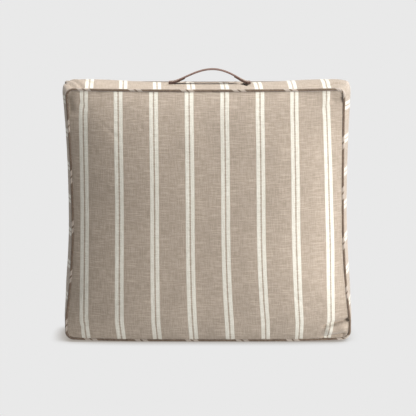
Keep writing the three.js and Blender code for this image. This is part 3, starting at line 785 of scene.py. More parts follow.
def nylon_coil(fittings):
    """Dyed nylon monofilament, drawn and coiled: smooth and a little waxy, lighter where it rubs."""
    made, tree, sockets = new_material("nylon_monofilament", Roughness=0.38, IOR=1.53)
    place = add(tree, "TexCoord", out=3)
    rubbed = add(tree, "TexNoise", {"Vector": place, "Scale": 220.0, "Detail": 2.0})
    light = tuple(min(1, 1.12 * c) for c in fittings.coil)
    dress(tree, sockets, blend_colours(tree, ramp(tree, rubbed, 0.4, 0.65), fittings.coil, light))
    tree.links.new(ramp(tree, rubbed, 0.3, 0.7, 0.32, 0.5), sockets["Roughness"])
    return made


def antiqued_brass(fittings):
    """Die-cast zinc plated in antiqued brass and tumbled: warm metal, darker and duller in its pits."""
    made, tree, sockets = new_material("antiqued_brass_plate", Metallic=1.0, Roughness=0.35)
    place = add(tree, "TexCoord", out=3)
    pits = add(tree, "TexNoise", {"Vector": place, "Scale": 900.0, "Detail": 4.0})
    patina = add(tree, "TexNoise", {"Vector": place, "Scale": 260.0, "Detail": 3.0})
    shown = blend_colours(tree, ramp(tree, patina, 0.35, 0.6), darker(fittings.brass, 0.55), fittings.brass)
    dress(tree, sockets, shown, pits, 0.25, 0.05 * MM)
    tree.links.new(ramp(tree, patina, 0.3, 0.7, 0.5, 0.28), sockets["Roughness"])
    return made


GRAIN_SIZE = 1.3 * MM  # the hide's pebbles, drawn a little coarse so that they show


def bridle_leather(handle, half_width):
    """Vegetable-tanned leather, waxed and cut to a strap: brown with a satin face, a pebbled grain with
    darker valleys, and edges burnished dark."""
    made, tree, sockets = new_material(
        "waxed_tanned_leather", Roughness=0.5, Coat_Weight=0.12, Coat_Roughness=0.35
    )
    place, _, around = cloth_place(tree)
    scaled = add(tree, "Mapping", {"Vector": place, "Scale": (1 / GRAIN_SIZE, 1 / GRAIN_SIZE, 1)})
    pebbles = add(
        tree, "TexVoronoi", {"Vector": scaled, "Scale": 1.0, "Randomness": 0.9}, voronoi_dimensions="2D"
    )
    valleys = ramp(tree, pebbles, 0.35, 0.75)
    mottled = streaks(tree, place, 16 * MM, 9 * MM, 3.0)
    mottling = ramp(tree, mottled, 0.3, 0.7)
    face = blend_colours(tree, mottling, darker(handle.leather, 0.82), handle.leather)
    in_valleys = add(tree, "Math", {0: valleys, 1: 0.45}, operation="MULTIPLY")
    grained = blend_colours(tree, in_valleys, face, handle.leather_dark)

    # The section's distance repeats after each face and edge, so the edges are near its multiples
    half_way = 2 * half_width + handle.thickness - 0.9 * MM
    wrapped = add(tree, "Math", {0: around, 1: half_way}, operation="PINGPONG")
    nearest = add(tree, "Math", {0: wrapped, 1: half_way / 2}, operation="PINGPONG")
    edge = ramp(tree, nearest, handle.thickness * 0.45, handle.thickness * 0.95, 0.85, 0.0)
    tree.links.new(ramp(tree, mottled, 0.3, 0.7, 0.42, 0.58), sockets["Roughness"])
    height = add(tree, "Math", {0: valleys, 1: -1.0, 2: mottled}, operation="MULTIPLY_ADD")
    shown = blend_colours(tree, edge, grained, handle.leather_dark)
    dress(tree, sockets, shown, height, 0.5, 0.25 * MM)
    return made


def waxed_thread(handle):
    """Bonded polyester thread, twisted and waxed: pale, with the slant of its plies."""
    made, tree, sockets = new_material("waxed_polyester_thread", Roughness=0.55, Sheen_Weight=0.1)
    _, along, around = cloth_place(tree)
    ply = wave(tree, add(tree, "Math", {0: along, 1: around}, operation="ADD"), 0.8 * MM)
    shown = blend_colours(tree, ramp(tree, ply, -1.0, 0.2), darker(handle.thread, 0.65), handle.thread)
    dress(tree, sockets, shown, ply, 0.7, 0.15 * MM)
    return made


# ---- Operators: one for each group of like pieces, and one for the stage ----

SEAM_BITE = 2.6 * MM  # the cover cloth stops this far short of the seam, inside the welt's wall


def trimmed(points, axes=(0, 1)):
    """A grid whose outermost points, which lie on the seam, are drawn back along the cloth by the bite."""
    points = points.copy()
    for axis in axes:
        p = np.moveaxis(points, axis, 0)
        p[0] += unit(p[1] - p[0]) * SEAM_BITE
        p[-1] += unit(p[-2] - p[-1]) * SEAM_BITE
    return points


def finer(points):
    """A grid with a point added between each two, along both ways: nine times the sum of the nearest two,
    less the next two, over sixteen, which keeps it smooth, and the mean of two at the ends."""
    for axis in (0, 1):
        p = np.moveaxis(points, axis, 0)
        between = (p[:-1] + p[1:]) / 2
        between[1:-1] = (9 * (p[1:-2] + p[2:-1]) - p[:-3] - p[3:]) / 16
        woven = np.empty((2 * len(p) - 1, *p.shape[1:]))
        woven[::2] = p
        woven[1::2] = between
        points = np.moveaxis(woven, 0, axis)
    return points


# Folds that a filled cover keeps, as start and end, half width and depth in millimetres; a fold with a
# negative depth stands up. On a panel they are places across and up, on the boxing along and across.
FRONT_FOLDS = (
    ((-293, 530), (-288, 506), 8, 4.5),
    ((262, 533), (282, 529), 7, 4.5),
    ((300, 49), (250, 38), 3.2, 11),
    ((291, 17), (249, 11), 3.4, 8),
    ((290, 32), (262, 26), 9, -8),
)
BOXING_FOLDS = (
    ((48, 36), (62, 30), 8, 7),
    ((70, 16), (102, -32), 6, 3.5),
    ((88, -8), (104, 30), 5, 2.5),
    ((-84, -18), (-52, -26), 7, 4),
    ((-306, 42), (-266, -52), 3.2, 8),
    ((-309, 14), (-284, -54), 3.2, 7),
    ((-300, 52), (-246, -26), 3.5, 5),
    ((262, -44), (286, -30), 5, 3.5),
)


def folded(points, outward, u, v, folds):
    """The points moved inward by the depth of each fold."""
    depth = sum(
        groove(u, v, np.array(a) * MM, np.array(b) * MM, wide * MM, deep * MM) for a, b, wide, deep in folds
    )
    return points - outward * depth[..., None]


PUCKER = 0.8 * MM  # height of the gathers at a seam
PUCKER_WAVE = 21 * MM
PUCKER_REACH = 17 * MM  # how far from the seam the puckers have died away to a third


def puckers(along, from_seam, turn=0.0):
    """Short gathers square to a seam: a ripple along it that dies away with the distance from it."""
    return PUCKER * ripple(along, 0 * along, PUCKER_WAVE, turn) * np.exp(-from_seam / PUCKER_REACH)


# How far the stripes have crept to the right, and by which heights and shares of the half width
FOOT_DRIFT, FOOT_DRIFT_BELOW = 10 * MM, 270 * MM
DRAWN_IN_LEFT, DRAWN_IN_RIGHT = 7 * MM, 35 * MM  # towards the middle, at the two corners of the foot
CREST_DRIFT, CREST_DRAWN_IN = 5 * MM, 15 * MM
BULGE_SPREAD, BULGE_DRIFT, BULGE_HEIGHT, BULGE_REACH = 5 * MM, 1.5 * MM, 220 * MM, 280 * MM
RIGHT_DRAWN_IN = 4 * MM
KINK, KINK_BELOW, KINK_BEYOND = 4 * MM, 42 * MM, 0.72
LEFT_BEND, LEFT_BEND_FROM = 8 * MM, 485 * MM


def stripe_drift(form, a, z):
    """How far the stripes have crept from the straight grain, as a sum: to the right at the foot by the
    square of the depth below mid height, drawn in towards the corners, spread by a bulge about the middle,
    moved right at the crest, kinked left under the fold at the lower right, and bent at the upper left."""
    foot = np.clip(1 - z / FOOT_DRIFT_BELOW, 0, None) ** 2
    drawn_in = np.where(a < 0, DRAWN_IN_LEFT, DRAWN_IN_RIGHT) * a**3
    crest = np.clip((z - form.lean_from) / (SEAM_CREST - form.lean_from), 0, 1) ** EASING
    at_right = np.clip(a, 0, 1) ** 4
    at_left = np.clip(-a, 0, 1) ** 6 * smooth((z - LEFT_BEND_FROM) / (65 * MM))
    bulge = np.clip(1 - ((z - BULGE_HEIGHT) / BULGE_REACH) ** 2, 0, None)
    kink = smooth((KINK_BELOW - z) / (20 * MM)) * smooth((a - KINK_BEYOND) / 0.1)
    return (
        foot * (FOOT_DRIFT - drawn_in)
        + crest * (CREST_DRIFT - CREST_DRAWN_IN * at_right)
        + bulge * (BULGE_SPREAD * a + BULGE_DRIFT)
        - at_right * RIGHT_DRAWN_IN
        - kink * KINK
        + at_left * LEFT_BEND
    )


FRONT_STRIPE_PHASE = 1.4 * MM
BOXING_STRIPE_PHASE = -4.5 * MM
BOXING_GATHER = 1.045  # the strip is eased in, so this much more cloth than seam lies along it
BOXING_SKEW = 5 * MM  # how much further right a stripe is at the back seam than at the front one


class CUSHION_OT_cover(bpy.types.Operator):
    """Cuts, sews and fills the striped cover: two panels and the boxing strip, relaxed as cloth"""

    bl_idname = "cushion.cover"
    bl_label = "Cover"

    def execute(self, context):
        form, cloth = context.scene.cushion_form, context.scene.cushion_cloth
        front, back, boxing = sewn_cover(form)
        material = striped_cloth(
            "slub_cotton_stripe", cloth, cloth.ground, cloth.ground_dark, cloth.stripe, cloth.stripe_dark
        )
        a, b = np.meshgrid(*[np.linspace(-1, 1, 2 * form.cells + 1)] * 2, indexing="ij")
        for name, points, side in (("cover_front", front, -1), ("cover_back", back, 1)):
            points = finer(points)
            outward = side * Y_AXIS
            if side < 0:
                points = folded(points, outward, points[..., 0], points[..., 2], FRONT_FOLDS)
            gathers = puckers(points[..., 0], (1 - np.abs(b)) * form.cut_half_height, side)
            gathers = gathers + puckers(points[..., 2], (1 - np.abs(a)) * form.cut_half_width, 2 * side)
            points = points + outward * gathers[..., None]
            drift = stripe_drift(form, a, points[..., 2])
            u = a * form.cut_half_width + FRONT_STRIPE_PHASE - drift
            uv = np.stack([u, b * form.cut_half_height], -1)
            patch = Patch(trimmed(points), uv)
            if side > 0:
                patch = Patch(patch.points[::-1], uv[::-1])
            panel = thicken(build(name, [patch], material), cloth.thickness)
            settle(panel, "cushion", "cover_cloth", name.split("_")[1] + "_panel")

        # The boxing, from under the right end, up, over and down to under the left end
        n, first = form.cells, first_column(form)
        columns = np.arange(first, 5 * n - first + 1)
        strip = finer(boxing[columns % (4 * n)])
        s = strip_coordinate(form, np.linspace(columns[0], columns[-1], len(strip)) / n)
        y = np.linspace(-form.cut_depth / 2, form.cut_depth / 2, 2 * form.depth_cells + 1)
        s, y = np.meshgrid(s, y, indexing="ij")
        outward = -normals(strip)
        strip = folded(strip, outward, s, y, BOXING_FOLDS)
        strip = strip + outward * puckers(s, form.cut_depth / 2 - np.abs(y), 3)[..., None]
        strip[..., 2] = np.maximum(strip[..., 2], 0)
        skew = BOXING_SKEW * y / form.cut_depth
        uv = np.stack([s * BOXING_GATHER + BOXING_STRIPE_PHASE + skew, y], -1)
        patch = Patch(trimmed(strip, axes=(1,))[::-1], uv[::-1])
        made = thicken(build("cover_boxing", [patch], material), cloth.thickness)
        settle(made, "cushion", "cover_cloth", "boxing_strip")
        return {"FINISHED"}


ZIP_CLOTH_GAP = 0.3 * MM  # between the boxing strip's end and the zipped length
ZIP_STRIPE_PHASE = 12 * MM
FOLD_PUCKER = 0.35 * MM  # height of the gathers at the folded edges
FOLD_PUCKER_WAVE = 14 * MM


class CUSHION_OT_zip_boxing(bpy.types.Operator):
    """Folds the two halves of the zipped length under the cushion"""

    bl_idname = "cushion.zip_boxing"
    bl_label = "Zip boxing"

    def execute(self, context):
        scene = context.scene
        form, cloth, fittings = scene.cushion_form, scene.cushion_cloth, scene.cushion_zip
        material = striped_cloth(
            "slub_cotton_facing", cloth, cloth.ground, cloth.ground_dark, cloth.stripe, cloth.stripe_dark
        )
        end = seam_line(form, np.array([first_column(form) / form.cells]))[0][0, 0] - ZIP_CLOTH_GAP
        x = np.linspace(-end, end, 181)
        near, rise = fittings.fold_half_gap, fittings.fold_rise
        turn = np.linspace(-math.pi / 2, math.pi / 2, 9)
        flat_y = np.linspace(HALF_DEPTH - SEAM_BITE, near + rise, 22)
        curl_y = near + rise / 2 - rise / 2 * np.cos(turn)
        back_y = np.linspace(near + rise / 2 + MM, ZIP_CLOTH_LOW.y + TAPE_HIGH.y - TAPE_LOW.y, 8)
        low = np.maximum(SEAM_FOOT - form.top_swell * (1 - (flat_y / HALF_DEPTH) ** 2), 0)
        section_y = np.concatenate([flat_y, curl_y, back_y])
        section_z = np.concatenate([low, rise / 2 + rise / 2 * np.sin(turn), 0 * back_y + rise])
        lift = form.foot_corner_lift * (x / waist(form)) ** 4
        pucker = FOLD_PUCKER * ripple(x, 0 * x, FOLD_PUCKER_WAVE)
        on_seam = smooth((section_y - 45 * MM) / (14 * MM))
        at_fold = smooth((14 * MM - section_y) / (8 * MM)) * smooth(section_z / MM)
        for word, side in (("front", -1), ("rear", 1)):
            z = section_z[None] + on_seam[None] * lift[:, None] + at_fold[None] * pucker[:, None]
            y = side * (section_y[None] + at_fold[None] * pucker[:, None])
            points = np.stack([np.broadcast_to(x[:, None], z.shape), y, z], -1)
            gone = distance_along(np.stack([section_y, section_z], -1))
            u = np.broadcast_to(x[:, None] + ZIP_STRIPE_PHASE, z.shape)
            uv = np.stack([u, np.broadcast_to(gone[None], z.shape)], -1)
            patch = Patch(points[::-1], uv[::-1]) if side < 0 else Patch(points, uv)
            made = thicken(build("cover_zip_" + word, [patch], material), cloth.thickness)
            settle(made, "cushion", "cover_cloth", "zip_boxing_" + word)
        return {"FINISHED"}


WELT_SLIT = 0.5  # half the angle left open where the bias strip's edges enter the seam, radians
WELT_WALL = 0.75 * MM
WELT_BLOOM = 0.6
WELT_UNEVEN = 0.05  # share by which a welt is thicker and thinner along its seam
WELT_WAVE = 23 * MM
CORD_CLEARANCE = 0.35 * MM
CORD_TWIST = 9 * MM  # distance along the cord for one turn of a strand
LOBE = 0.07  # share of the cord's radius by which its three strands stand out


class CUSHION_OT_welts(bpy.types.Operator):
    """Wraps the bias strip round its cord along both seams"""

    bl_idname = "cushion.welts"
    bl_label = "Welts"

    def execute(self, context):
        form, cloth = context.scene.cushion_form, context.scene.cushion_cloth
        # The bias strip in darker colours: partly its own tone, partly painted shade of the groove that the
        # welt lies in.
        bias = striped_cloth(
            "slub_cotton_bias", cloth, cloth.welt, cloth.welt_dark_with_groove_shade, cloth.welt_stripe_with_groove_shade, cloth.welt_stripe_with_groove_shade,
            WELT_BLOOM,
        )
        laid = twisted_cotton(cloth)
        t = np.linspace(0, 4, 4 * 192 + 1)
        point, outward = seam_line(form, t)
        gone = distance_along(point)
        turns = round(gone[-1] / CORD_TWIST) * gone / gone[-1]
        for word, side in (("front", -1), ("back", 1)):
            uneven = 1 + WELT_UNEVEN * ripple(point[:, 0], point[:, 1], WELT_WAVE, side)
            for piece in ("welt", "cord"):
                if piece == "welt":
                    angle = np.linspace(WELT_SLIT - math.pi, math.pi - WELT_SLIT, 19)
                    radius = WELT_RADIUS * np.broadcast_to(uneven[:, None], (len(t), len(angle)))
                else:
                    angle = np.linspace(-math.pi, math.pi, 19)
                    lobes = np.cos(3 * (angle[None] - 2 * math.pi * turns[:, None]))
                    radius = (WELT_RADIUS - WELT_WALL - CORD_CLEARANCE) * (1 - LOBE + LOBE * lobes)
                out, across = radius * np.cos(angle), radius * np.sin(angle)
                points = np.stack(
                    [
                        point[:, None, 0] + outward[:, None, 0] * out,
                        side * (HALF_DEPTH + across),
                        point[:, None, 1] + outward[:, None, 1] * out,
                    ],
                    -1,
                )
                around = np.broadcast_to(WELT_RADIUS * angle, out.shape)
                along = np.broadcast_to(gone[:, None], out.shape)
                if piece == "welt":
                    slant = math.sqrt(0.5)
                    uv = np.stack([(along + around) * slant, (along - around) * slant], -1)
                    name, material, slot = "welt_" + word, bias, "piping_cloth"
                else:
                    uv = np.stack([along, around], -1)
                    name, material, slot = "welt_cord_" + word, laid, "piping_cord"
                made = build(name, [Patch(points, uv)], material, weld=1e-6)
                if piece == "welt":
                    thicken(made, WELT_WALL)
                settle(made, "cushion", slot, f"{word}_piping_{'cover' if piece == 'welt' else 'cord'}")
        return {"FINISHED"}


CASING_CLEARANCE = 9 * MM
CASING_WALL = 0.9 * MM
CASING_LUMPS = 2 * MM
WADDING_CLEARANCE = 14 * MM
WADDING_LUMPS = 3 * MM
LUMP_WAVE = 85 * MM


def inner_form(form, inset, side, lumps, rows=10):
    """Half of a smaller cushion: a panel and its share of the boxing, as two patches, with an unevenness
    of the given height square to the form."""
    n = form.cells // 2
    panel = panel_surface(form, n, side, inset)
    t = np.linspace(0, 4, 4 * n + 1)
    skirt = boxing_surface(form, t, side * np.linspace(HALF_DEPTH - inset, 0, rows), inset)
    skirt[:, 0, 0], skirt[:, 0, 2] = seam_line(form, t, inset)[0].T
    patches = []
    for points in (panel, skirt):
        y = points[..., 1]
        inward = unit(points - np.array([0, 0, SEAM_CREST / 2]))
        swell = lumps * ripple(points[..., 0] + y, points[..., 2] - 0.6 * y, LUMP_WAVE, 1.3)
        moved = points + inward * swell[..., None]
        moved[..., 2] = np.maximum(moved[..., 2], inset)
        patches.append(Patch(moved, points[..., [0, 2]] + 0.5 * y[..., None]))
    return patches


class CUSHION_OT_insert(bpy.types.Operator):
    """Sews the insert's two casing halves round their wadding"""

    bl_idname = "cushion.insert"
    bl_label = "Insert"

    def execute(self, context):
        form, cloth = context.scene.cushion_form, context.scene.cushion_cloth
        cambric = casing_cotton(cloth)
        for word, side in (("front", -1), ("rear", 1)):
            patches = inner_form(form, CASING_CLEARANCE, side, CASING_LUMPS)
            made = thicken(build("casing_" + word, patches, cambric, weld=1e-5), CASING_WALL)
            settle(made, "cushion", "insert_casing", "insert_casing_" + word)
        patches = [
            patch for side in (-1, 1) for patch in inner_form(form, WADDING_CLEARANCE, side, WADDING_LUMPS)
        ]
        made = build("wadding", patches, wadding_fibre(cloth), weld=1e-5)
        settle(made, "cushion", "fibre_fill", "fibre_fill")
        return {"FINISHED"}


def coil_points(fittings, x0, x1, side, middle, height):
    """The coil: a wire whose middle line goes round a flattened oval once for each tooth while it moves
    along, carried as a ring of five points square to it."""
    teeth = int((x1 - x0) / fittings.tooth_pitch)
    turn = np.linspace(0, 2 * math.pi * teeth, 9 * teeth + 1)
    wide = (COIL_HIGH.y - COIL_LOW.y) / 2 - fittings.wire_radius
    tall = (COIL_HIGH.z - COIL_LOW.z) / 2 - fittings.wire_radius
    x = x0 + (x1 - x0) * turn / turn[-1]
    centre = np.stack([x, side * (middle + wide * np.cos(turn)), height + tall * np.sin(turn)], -1)
    ahead = unit(np.gradient(centre, axis=0))
    sideways = unit(np.cross(ahead, X_AXIS))
    return sweep(centre, sideways, np.cross(ahead, sideways), circle(fittings.wire_radius, 5), x)


def capped(patch):
    """A swept tube with a cap at each end."""
    first, last = patch.points[0], patch.points[-1]
    ends = []
    for ring, flip in ((first, True), (last, False)):
        cap = fan(ring, ring[:-1].mean(0))
        uv = np.zeros((*cap.shape[:2], 2)) + patch.uv[0 if flip else -1][None]
        ends.append(Patch(cap, uv))
    return [patch, *ends]


TAPE_WAVING = 0.1 * MM  # how far the sewing makes a tape rise and fall
PIN_X = TAB_HIGH.x - 0.95 * MM
PIN_Z = (TAB_LOW.z + TAB_HIGH.z) / 2
PIN_RADIUS = 0.3 * MM
PIN_HALF_LENGTH = 2.6 * MM
LUG_Y = 2.8 * MM
POST_AHEAD = 6 * MM  # from the pin to the slider's post
SLIDER_PLATE = 1 * MM
SLIDER_CLEARANCE = 0.3 * MM
SLIDER_TAPER = 0.16  # share of its width that the slider loses towards its tab
TAB_RIM = 0.62 * MM
EYE_REACH = 1.3 * MM
EYE_RADIUS = 0.78 * MM


class CUSHION_OT_zip(bpy.types.Operator):
    """Makes the zip: tapes, coils, stops, slider and pull tab"""

    bl_idname = "cushion.zip"
    bl_label = "Zip"

    def execute(self, context):
        fittings = context.scene.cushion_zip
        twill, nylon, brass = zip_tape_twill(fittings), nylon_coil(fittings), antiqued_brass(fittings)
        middle_y = (COIL_LOW.y + COIL_HIGH.y) / 2
        middle_z = (COIL_LOW.z + COIL_HIGH.z) / 2
        for word, side in (("front", -1), ("rear", 1)):
            self.tape(word, side, twill)
            coil = coil_points(fittings, COIL_LOW.x, COIL_HIGH.x, side, middle_y, middle_z)
            made = build("coil_" + word, capped(coil), nylon, weld=1e-6)
            settle(made, "cushion", "zip_coil", "zip_coil_" + word)
            self.stop("top_stop_" + word, "zip_top_stop_" + word, brass)
        self.stop("bottom_stop", "zip_bottom_stop", brass)
        self.slider(brass)
        self.pull_tab(brass)
        return {"FINISHED"}

    def tape(self, word, side, material):
        """A flat tape with rounded selvedges, waving slightly where it is sewn."""
        x = np.linspace(TAPE_LOW.x, TAPE_HIGH.x, 200)
        thick, wide = TAPE_HIGH.z - TAPE_LOW.z, TAPE_HIGH.y - TAPE_LOW.y
        y = side * (TAPE_LOW.y + TAPE_HIGH.y) / 2
        z = TAPE_LOW.z + thick / 2 + TAPE_WAVING * ripple(x, 0 * x, PUCKER_WAVE, side)
        centre = np.stack([x, 0 * x + y, z], -1)
        section = rounded_section(wide / 2, thick / 2, thick * 0.45, 3)
        made = build("tape_" + word, capped(sweep(centre, Y_AXIS, Z_AXIS, section, x)), material, 1e-6, 50)
        settle(made, "cushion", "zip_tape", "zip_tape_" + word)

    def stop(self, name, node, material):
        """A crimped metal clamp: a small plate with well rounded edges."""
        low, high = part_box(node)
        patch = plate(outline_of(low, high, 0.6 * MM), low.z, high.z, 0.4 * MM)
        settle(build(name, [patch], material, 1e-7, 60), "cushion", "zip_metal", node)

    def slider(self, material):
        """Two rounded plates either side of the coils, a wedge-shaped post between them, and two lugs that
        hold the pin of the tab."""
        low, high = SLIDER_LOW, SLIDER_HIGH
        lower = COIL_LOW.z - SLIDER_CLEARANCE - SLIDER_PLATE
        half_length, half_width = (high.x - low.x) / 2, (high.y - low.y) / 2
        outline = rounded_section(half_length, half_width, 1.9 * MM, 6)
        taper = 1 - SLIDER_TAPER * smooth((half_length * 0.2 - outline[:, 0]) / (1.2 * half_length))
        outline = np.column_stack([outline[:, 0] + (low.x + high.x) / 2, outline[:, 1] * taper])
        post = rounded_section(2 * MM, 0.6 * MM, 0.4 * MM) + np.array([PIN_X + POST_AHEAD, 0])
        patches = [
            plate(outline, lower, lower + SLIDER_PLATE, 0.35 * MM),
            plate(outline, high.z - SLIDER_PLATE, high.z, 0.35 * MM),
            plate(post, lower + SLIDER_PLATE * 0.7, high.z - SLIDER_PLATE * 0.7, 0.1 * MM),
        ]
        for side in (-1, 1):
            lug = rounded_section(0.9 * MM, 0.4 * MM, 0.25 * MM) + np.array([PIN_X, side * LUG_Y])
            patches.append(plate(lug, PIN_Z - 0.75 * MM, lower + SLIDER_PLATE * 0.3, 0.2 * MM))
        y = np.linspace(-PIN_HALF_LENGTH, PIN_HALF_LENGTH, 7)
        centre = np.stack([0 * y + PIN_X, y, 0 * y + PIN_Z], -1)
        patches += capped(sweep(centre, X_AXIS, Z_AXIS, circle(PIN_RADIUS, 16), y))
        settle(build("slider_body", patches, material, 1e-8, 40), "slider", "zip_metal", "zip_slider")

    def pull_tab(self, material):
        """A flat blade with a slot, as a rounded section carried round a long ring, and an eye at the pin."""
        half = (TAB_HIGH.y - TAB_LOW.y) / 2
        reach = PIN_X - EYE_REACH
        path = rounded_section((reach - TAB_LOW.x) / 2, half - TAB_RIM, half - TAB_RIM, 8)
        path = path + np.array([(reach + TAB_LOW.x + TAB_RIM) / 2, 0])
        ahead = unit(np.roll(path[:-1], -1, 0) - np.roll(path[:-1], 1, 0))
        ahead = np.concatenate([ahead, ahead[:1]])
        outward = np.stack([ahead[:, 1], -ahead[:, 0]], -1)
        centre = np.column_stack([path, np.full(len(path), PIN_Z)])
        sideways = np.column_stack([outward, np.zeros(len(path))])
        section = rounded_section(TAB_RIM, 0.4 * MM, 0.3 * MM)
        patches = [sweep(centre, sideways, Z_AXIS, section, distance_along(path))]

        # The eye: a short tube round the pin, its wall a rounded section carried round a circle
        angle = np.linspace(0, 2 * math.pi, 25)
        spoke = np.stack([np.cos(angle), 0 * angle, np.sin(angle)], -1)
        centre = np.array([PIN_X, 0, PIN_Z]) + EYE_RADIUS * spoke
        wall = rounded_section(half - 0.1 * MM, 0.17 * MM, 0.12 * MM, 3)
        patches.append(sweep(centre, Y_AXIS, spoke, wall, angle * MM))
        made = build("pull_tab_blade", patches, material, 1e-8, 50)
        settle(made, "pull_tab", "zip_metal", "zip_pull_tab")


def strap_top(handle, x):
    """Height of the strap's face above the boxing's crown: two layers lying flat, and an arch that is a
    rise times the power 1.5 of 1 less the square of the distance out, its crest moved a little aside."""
    span = handle.arch_half_span
    moved = x - handle.crest_shift * np.clip(1 - (x / span) ** 2, 0, 1)
    bow = np.clip(1 - (moved / span) ** 2, 0, None) ** 1.5
    face = FOOT_LOW.z + 2 * handle.thickness
    return face + (GRIP_CREST - FOOT_LOW.z - 2 * handle.thickness) * bow


STILL_X = 0.062  # metres from the middle: the strap is all on the cushion from here outwards
STITCH_MARGIN = 0.4 * MM
STITCH_PLY_RUN = 3 * MM  # length of thread whose plies are drawn on one stitch
PATCH_DROP = 6 * MM  # how far a patch hangs down, clear of the hollows that the stitching pulls


class CUSHION_OT_handle(bpy.types.Operator):
    """Bows the leather strap over the top, turns its ends under and stitches them down"""

    bl_idname = "cushion.handle"
    bl_label = "Handle"

    def execute(self, context):
        handle = context.scene.cushion_handle
        half_width = FOOT_HIGH.y
        leather, thread = bridle_leather(handle, half_width), waxed_thread(handle)
        for word, side in (("left", -1), ("right", 1)):
            strap = self.strap(handle, word, side, half_width, leather)
            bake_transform(strap)
            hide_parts(f"handle_{word}_foot", "handle_grip")
            self.stitching(handle, word, side, thread)
            self.patch(context, word)
        return {"FINISHED"}

    def strap(self, handle, word, side, half_width, material):
        """Half of the strap: its middle line runs from the crest out to the end, round a tight half turn
        and back underneath, one thickness below, where it is pared thin."""
        thick = handle.thickness
        end = FOOT_HIGH.x - thick
        x = np.concatenate([np.linspace(0, STILL_X, 44), np.linspace(STILL_X, end, 18)[1:]])
        top = np.stack([x, strap_top(handle, side * x) - thick / 2], -1)
        slope = unit(np.gradient(top, axis=0))
        up = np.stack([-slope[:, 1], slope[:, 0]], -1)
        radius = thick * 0.53
        turn = np.linspace(0, math.pi, 11)[1:-1]
        hub = top[-1] - up[-1] * radius
        bend = hub + radius * np.stack([np.sin(turn), np.cos(turn)], -1)
        under = (x >= handle.turned_to)[::-1]
        below = (top - 2 * radius * up)[::-1][under]
        line = np.concatenate([top, bend, below])
        ahead = unit(np.gradient(line, axis=0))
        out = np.stack([-ahead[:, 1], ahead[:, 0]], -1)
        gone = distance_along(line)
        pared = 0.3 + 0.7 * smooth((gone[-1] - gone) / handle.skive)
        centre = np.stack([side * line[:, 0] + handle.shift, 0 * gone, line[:, 1]], -1)
        upward = np.stack([side * out[:, 0], 0 * gone, out[:, 1]], -1)
        section = rounded_section(half_width, thick / 2, thick * 0.4)
        patch = sweep(centre, Y_AXIS, upward * pared[:, None], section, gone)
        return build("strap_" + word, capped(patch), material, 1e-6, 60)

    def stitching(self, handle, word, side, material):
        """A box of stitches with two diagonals. Each is a short bowed thread, thick in the middle, whose
        ends dip into the leather."""
        near, far = STITCH_LOW.x + STITCH_MARGIN, STITCH_HIGH.x - STITCH_MARGIN
        wide = STITCH_HIGH.y - STITCH_MARGIN
        corners = {"a": (near, -wide), "b": (far, -wide), "c": (far, wide), "d": (near, wide)}
        pitch = handle.stitch_length + handle.stitch_gap
        share = handle.stitch_length / pitch
        along = np.linspace(0, 1, 7)
        gone = along * STITCH_PLY_RUN
        girth = handle.thread_radius * np.sqrt(np.clip(1 - (2 * along - 1) ** 4, 1e-4, 1))[:, None]
        lift = handle.thread_radius * (0.75 * np.sin(math.pi * along) - 0.1)
        patches = []
        for first, last in ("ab", "bc", "cd", "da", "ac", "db"):
            start, stop = np.array(corners[first]), np.array(corners[last])
            count = max(1, round(np.linalg.norm(stop - start) / pitch))
            ahead = (stop - start) / count
            for k in range(count):
                at = start + ahead * (k + 0.5 + (along[:, None] - 0.5) * share)
                x = side * at[:, 0]
                centre = np.stack([x + handle.shift, at[:, 1], strap_top(handle, x) + lift], -1)
                forward = unit(np.gradient(centre, axis=0))
                sideways = unit(np.cross(forward, Z_AXIS))
                upward = np.cross(sideways, forward)
                patches += capped(sweep(centre, sideways * girth, upward * girth, circle(1, 7), gone))
        made = build("stitching_" + word, patches, material, 1e-7)
        settle(made, "cushion", "handle_thread", f"handle_{word}_stitching")

    def patch(self, context, word):
        """The backing patch under the boxing: a rounded rectangle of webbing."""
        low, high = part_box(f"handle_{word}_backing")
        webbing = zip_tape_twill(context.scene.cushion_zip)
        webbing.name = "cotton_webbing_" + word
        outline = outline_of(low, high, 1.5 * MM)
        patch = plate(outline, low.z - PATCH_DROP, high.z - PATCH_DROP, 0.3 * MM)
        made = build("patch_" + word, [patch], webbing, 1e-6, 60)
        settle(made, "cushion", "insert_casing", f"handle_{word}_backing")


# Softboxes, each as the place where it stands, the place that it faces and its size, in metres
SOFTBOXES = {
    "key": ((1.05, -0.82, 0.22), (0.15, -0.1, 0.22), 0.6),
    "top": ((0.02, -0.03, 1.75), (0.02, 0, 0.5), 0.9),
    "side": ((1.5, 0.25, 0.6), (0.3, 0, 0.35), 0.7),
}
FLOOR_REACH = 30.0  # half the width of the floor, in metres
FLOOR_DEPTH = 0.5 * MM  # how far it lies below the cushion
CLOSED_IN = 0.04  # the painted contact shadow darkens the floor where something is nearer than this, in metres
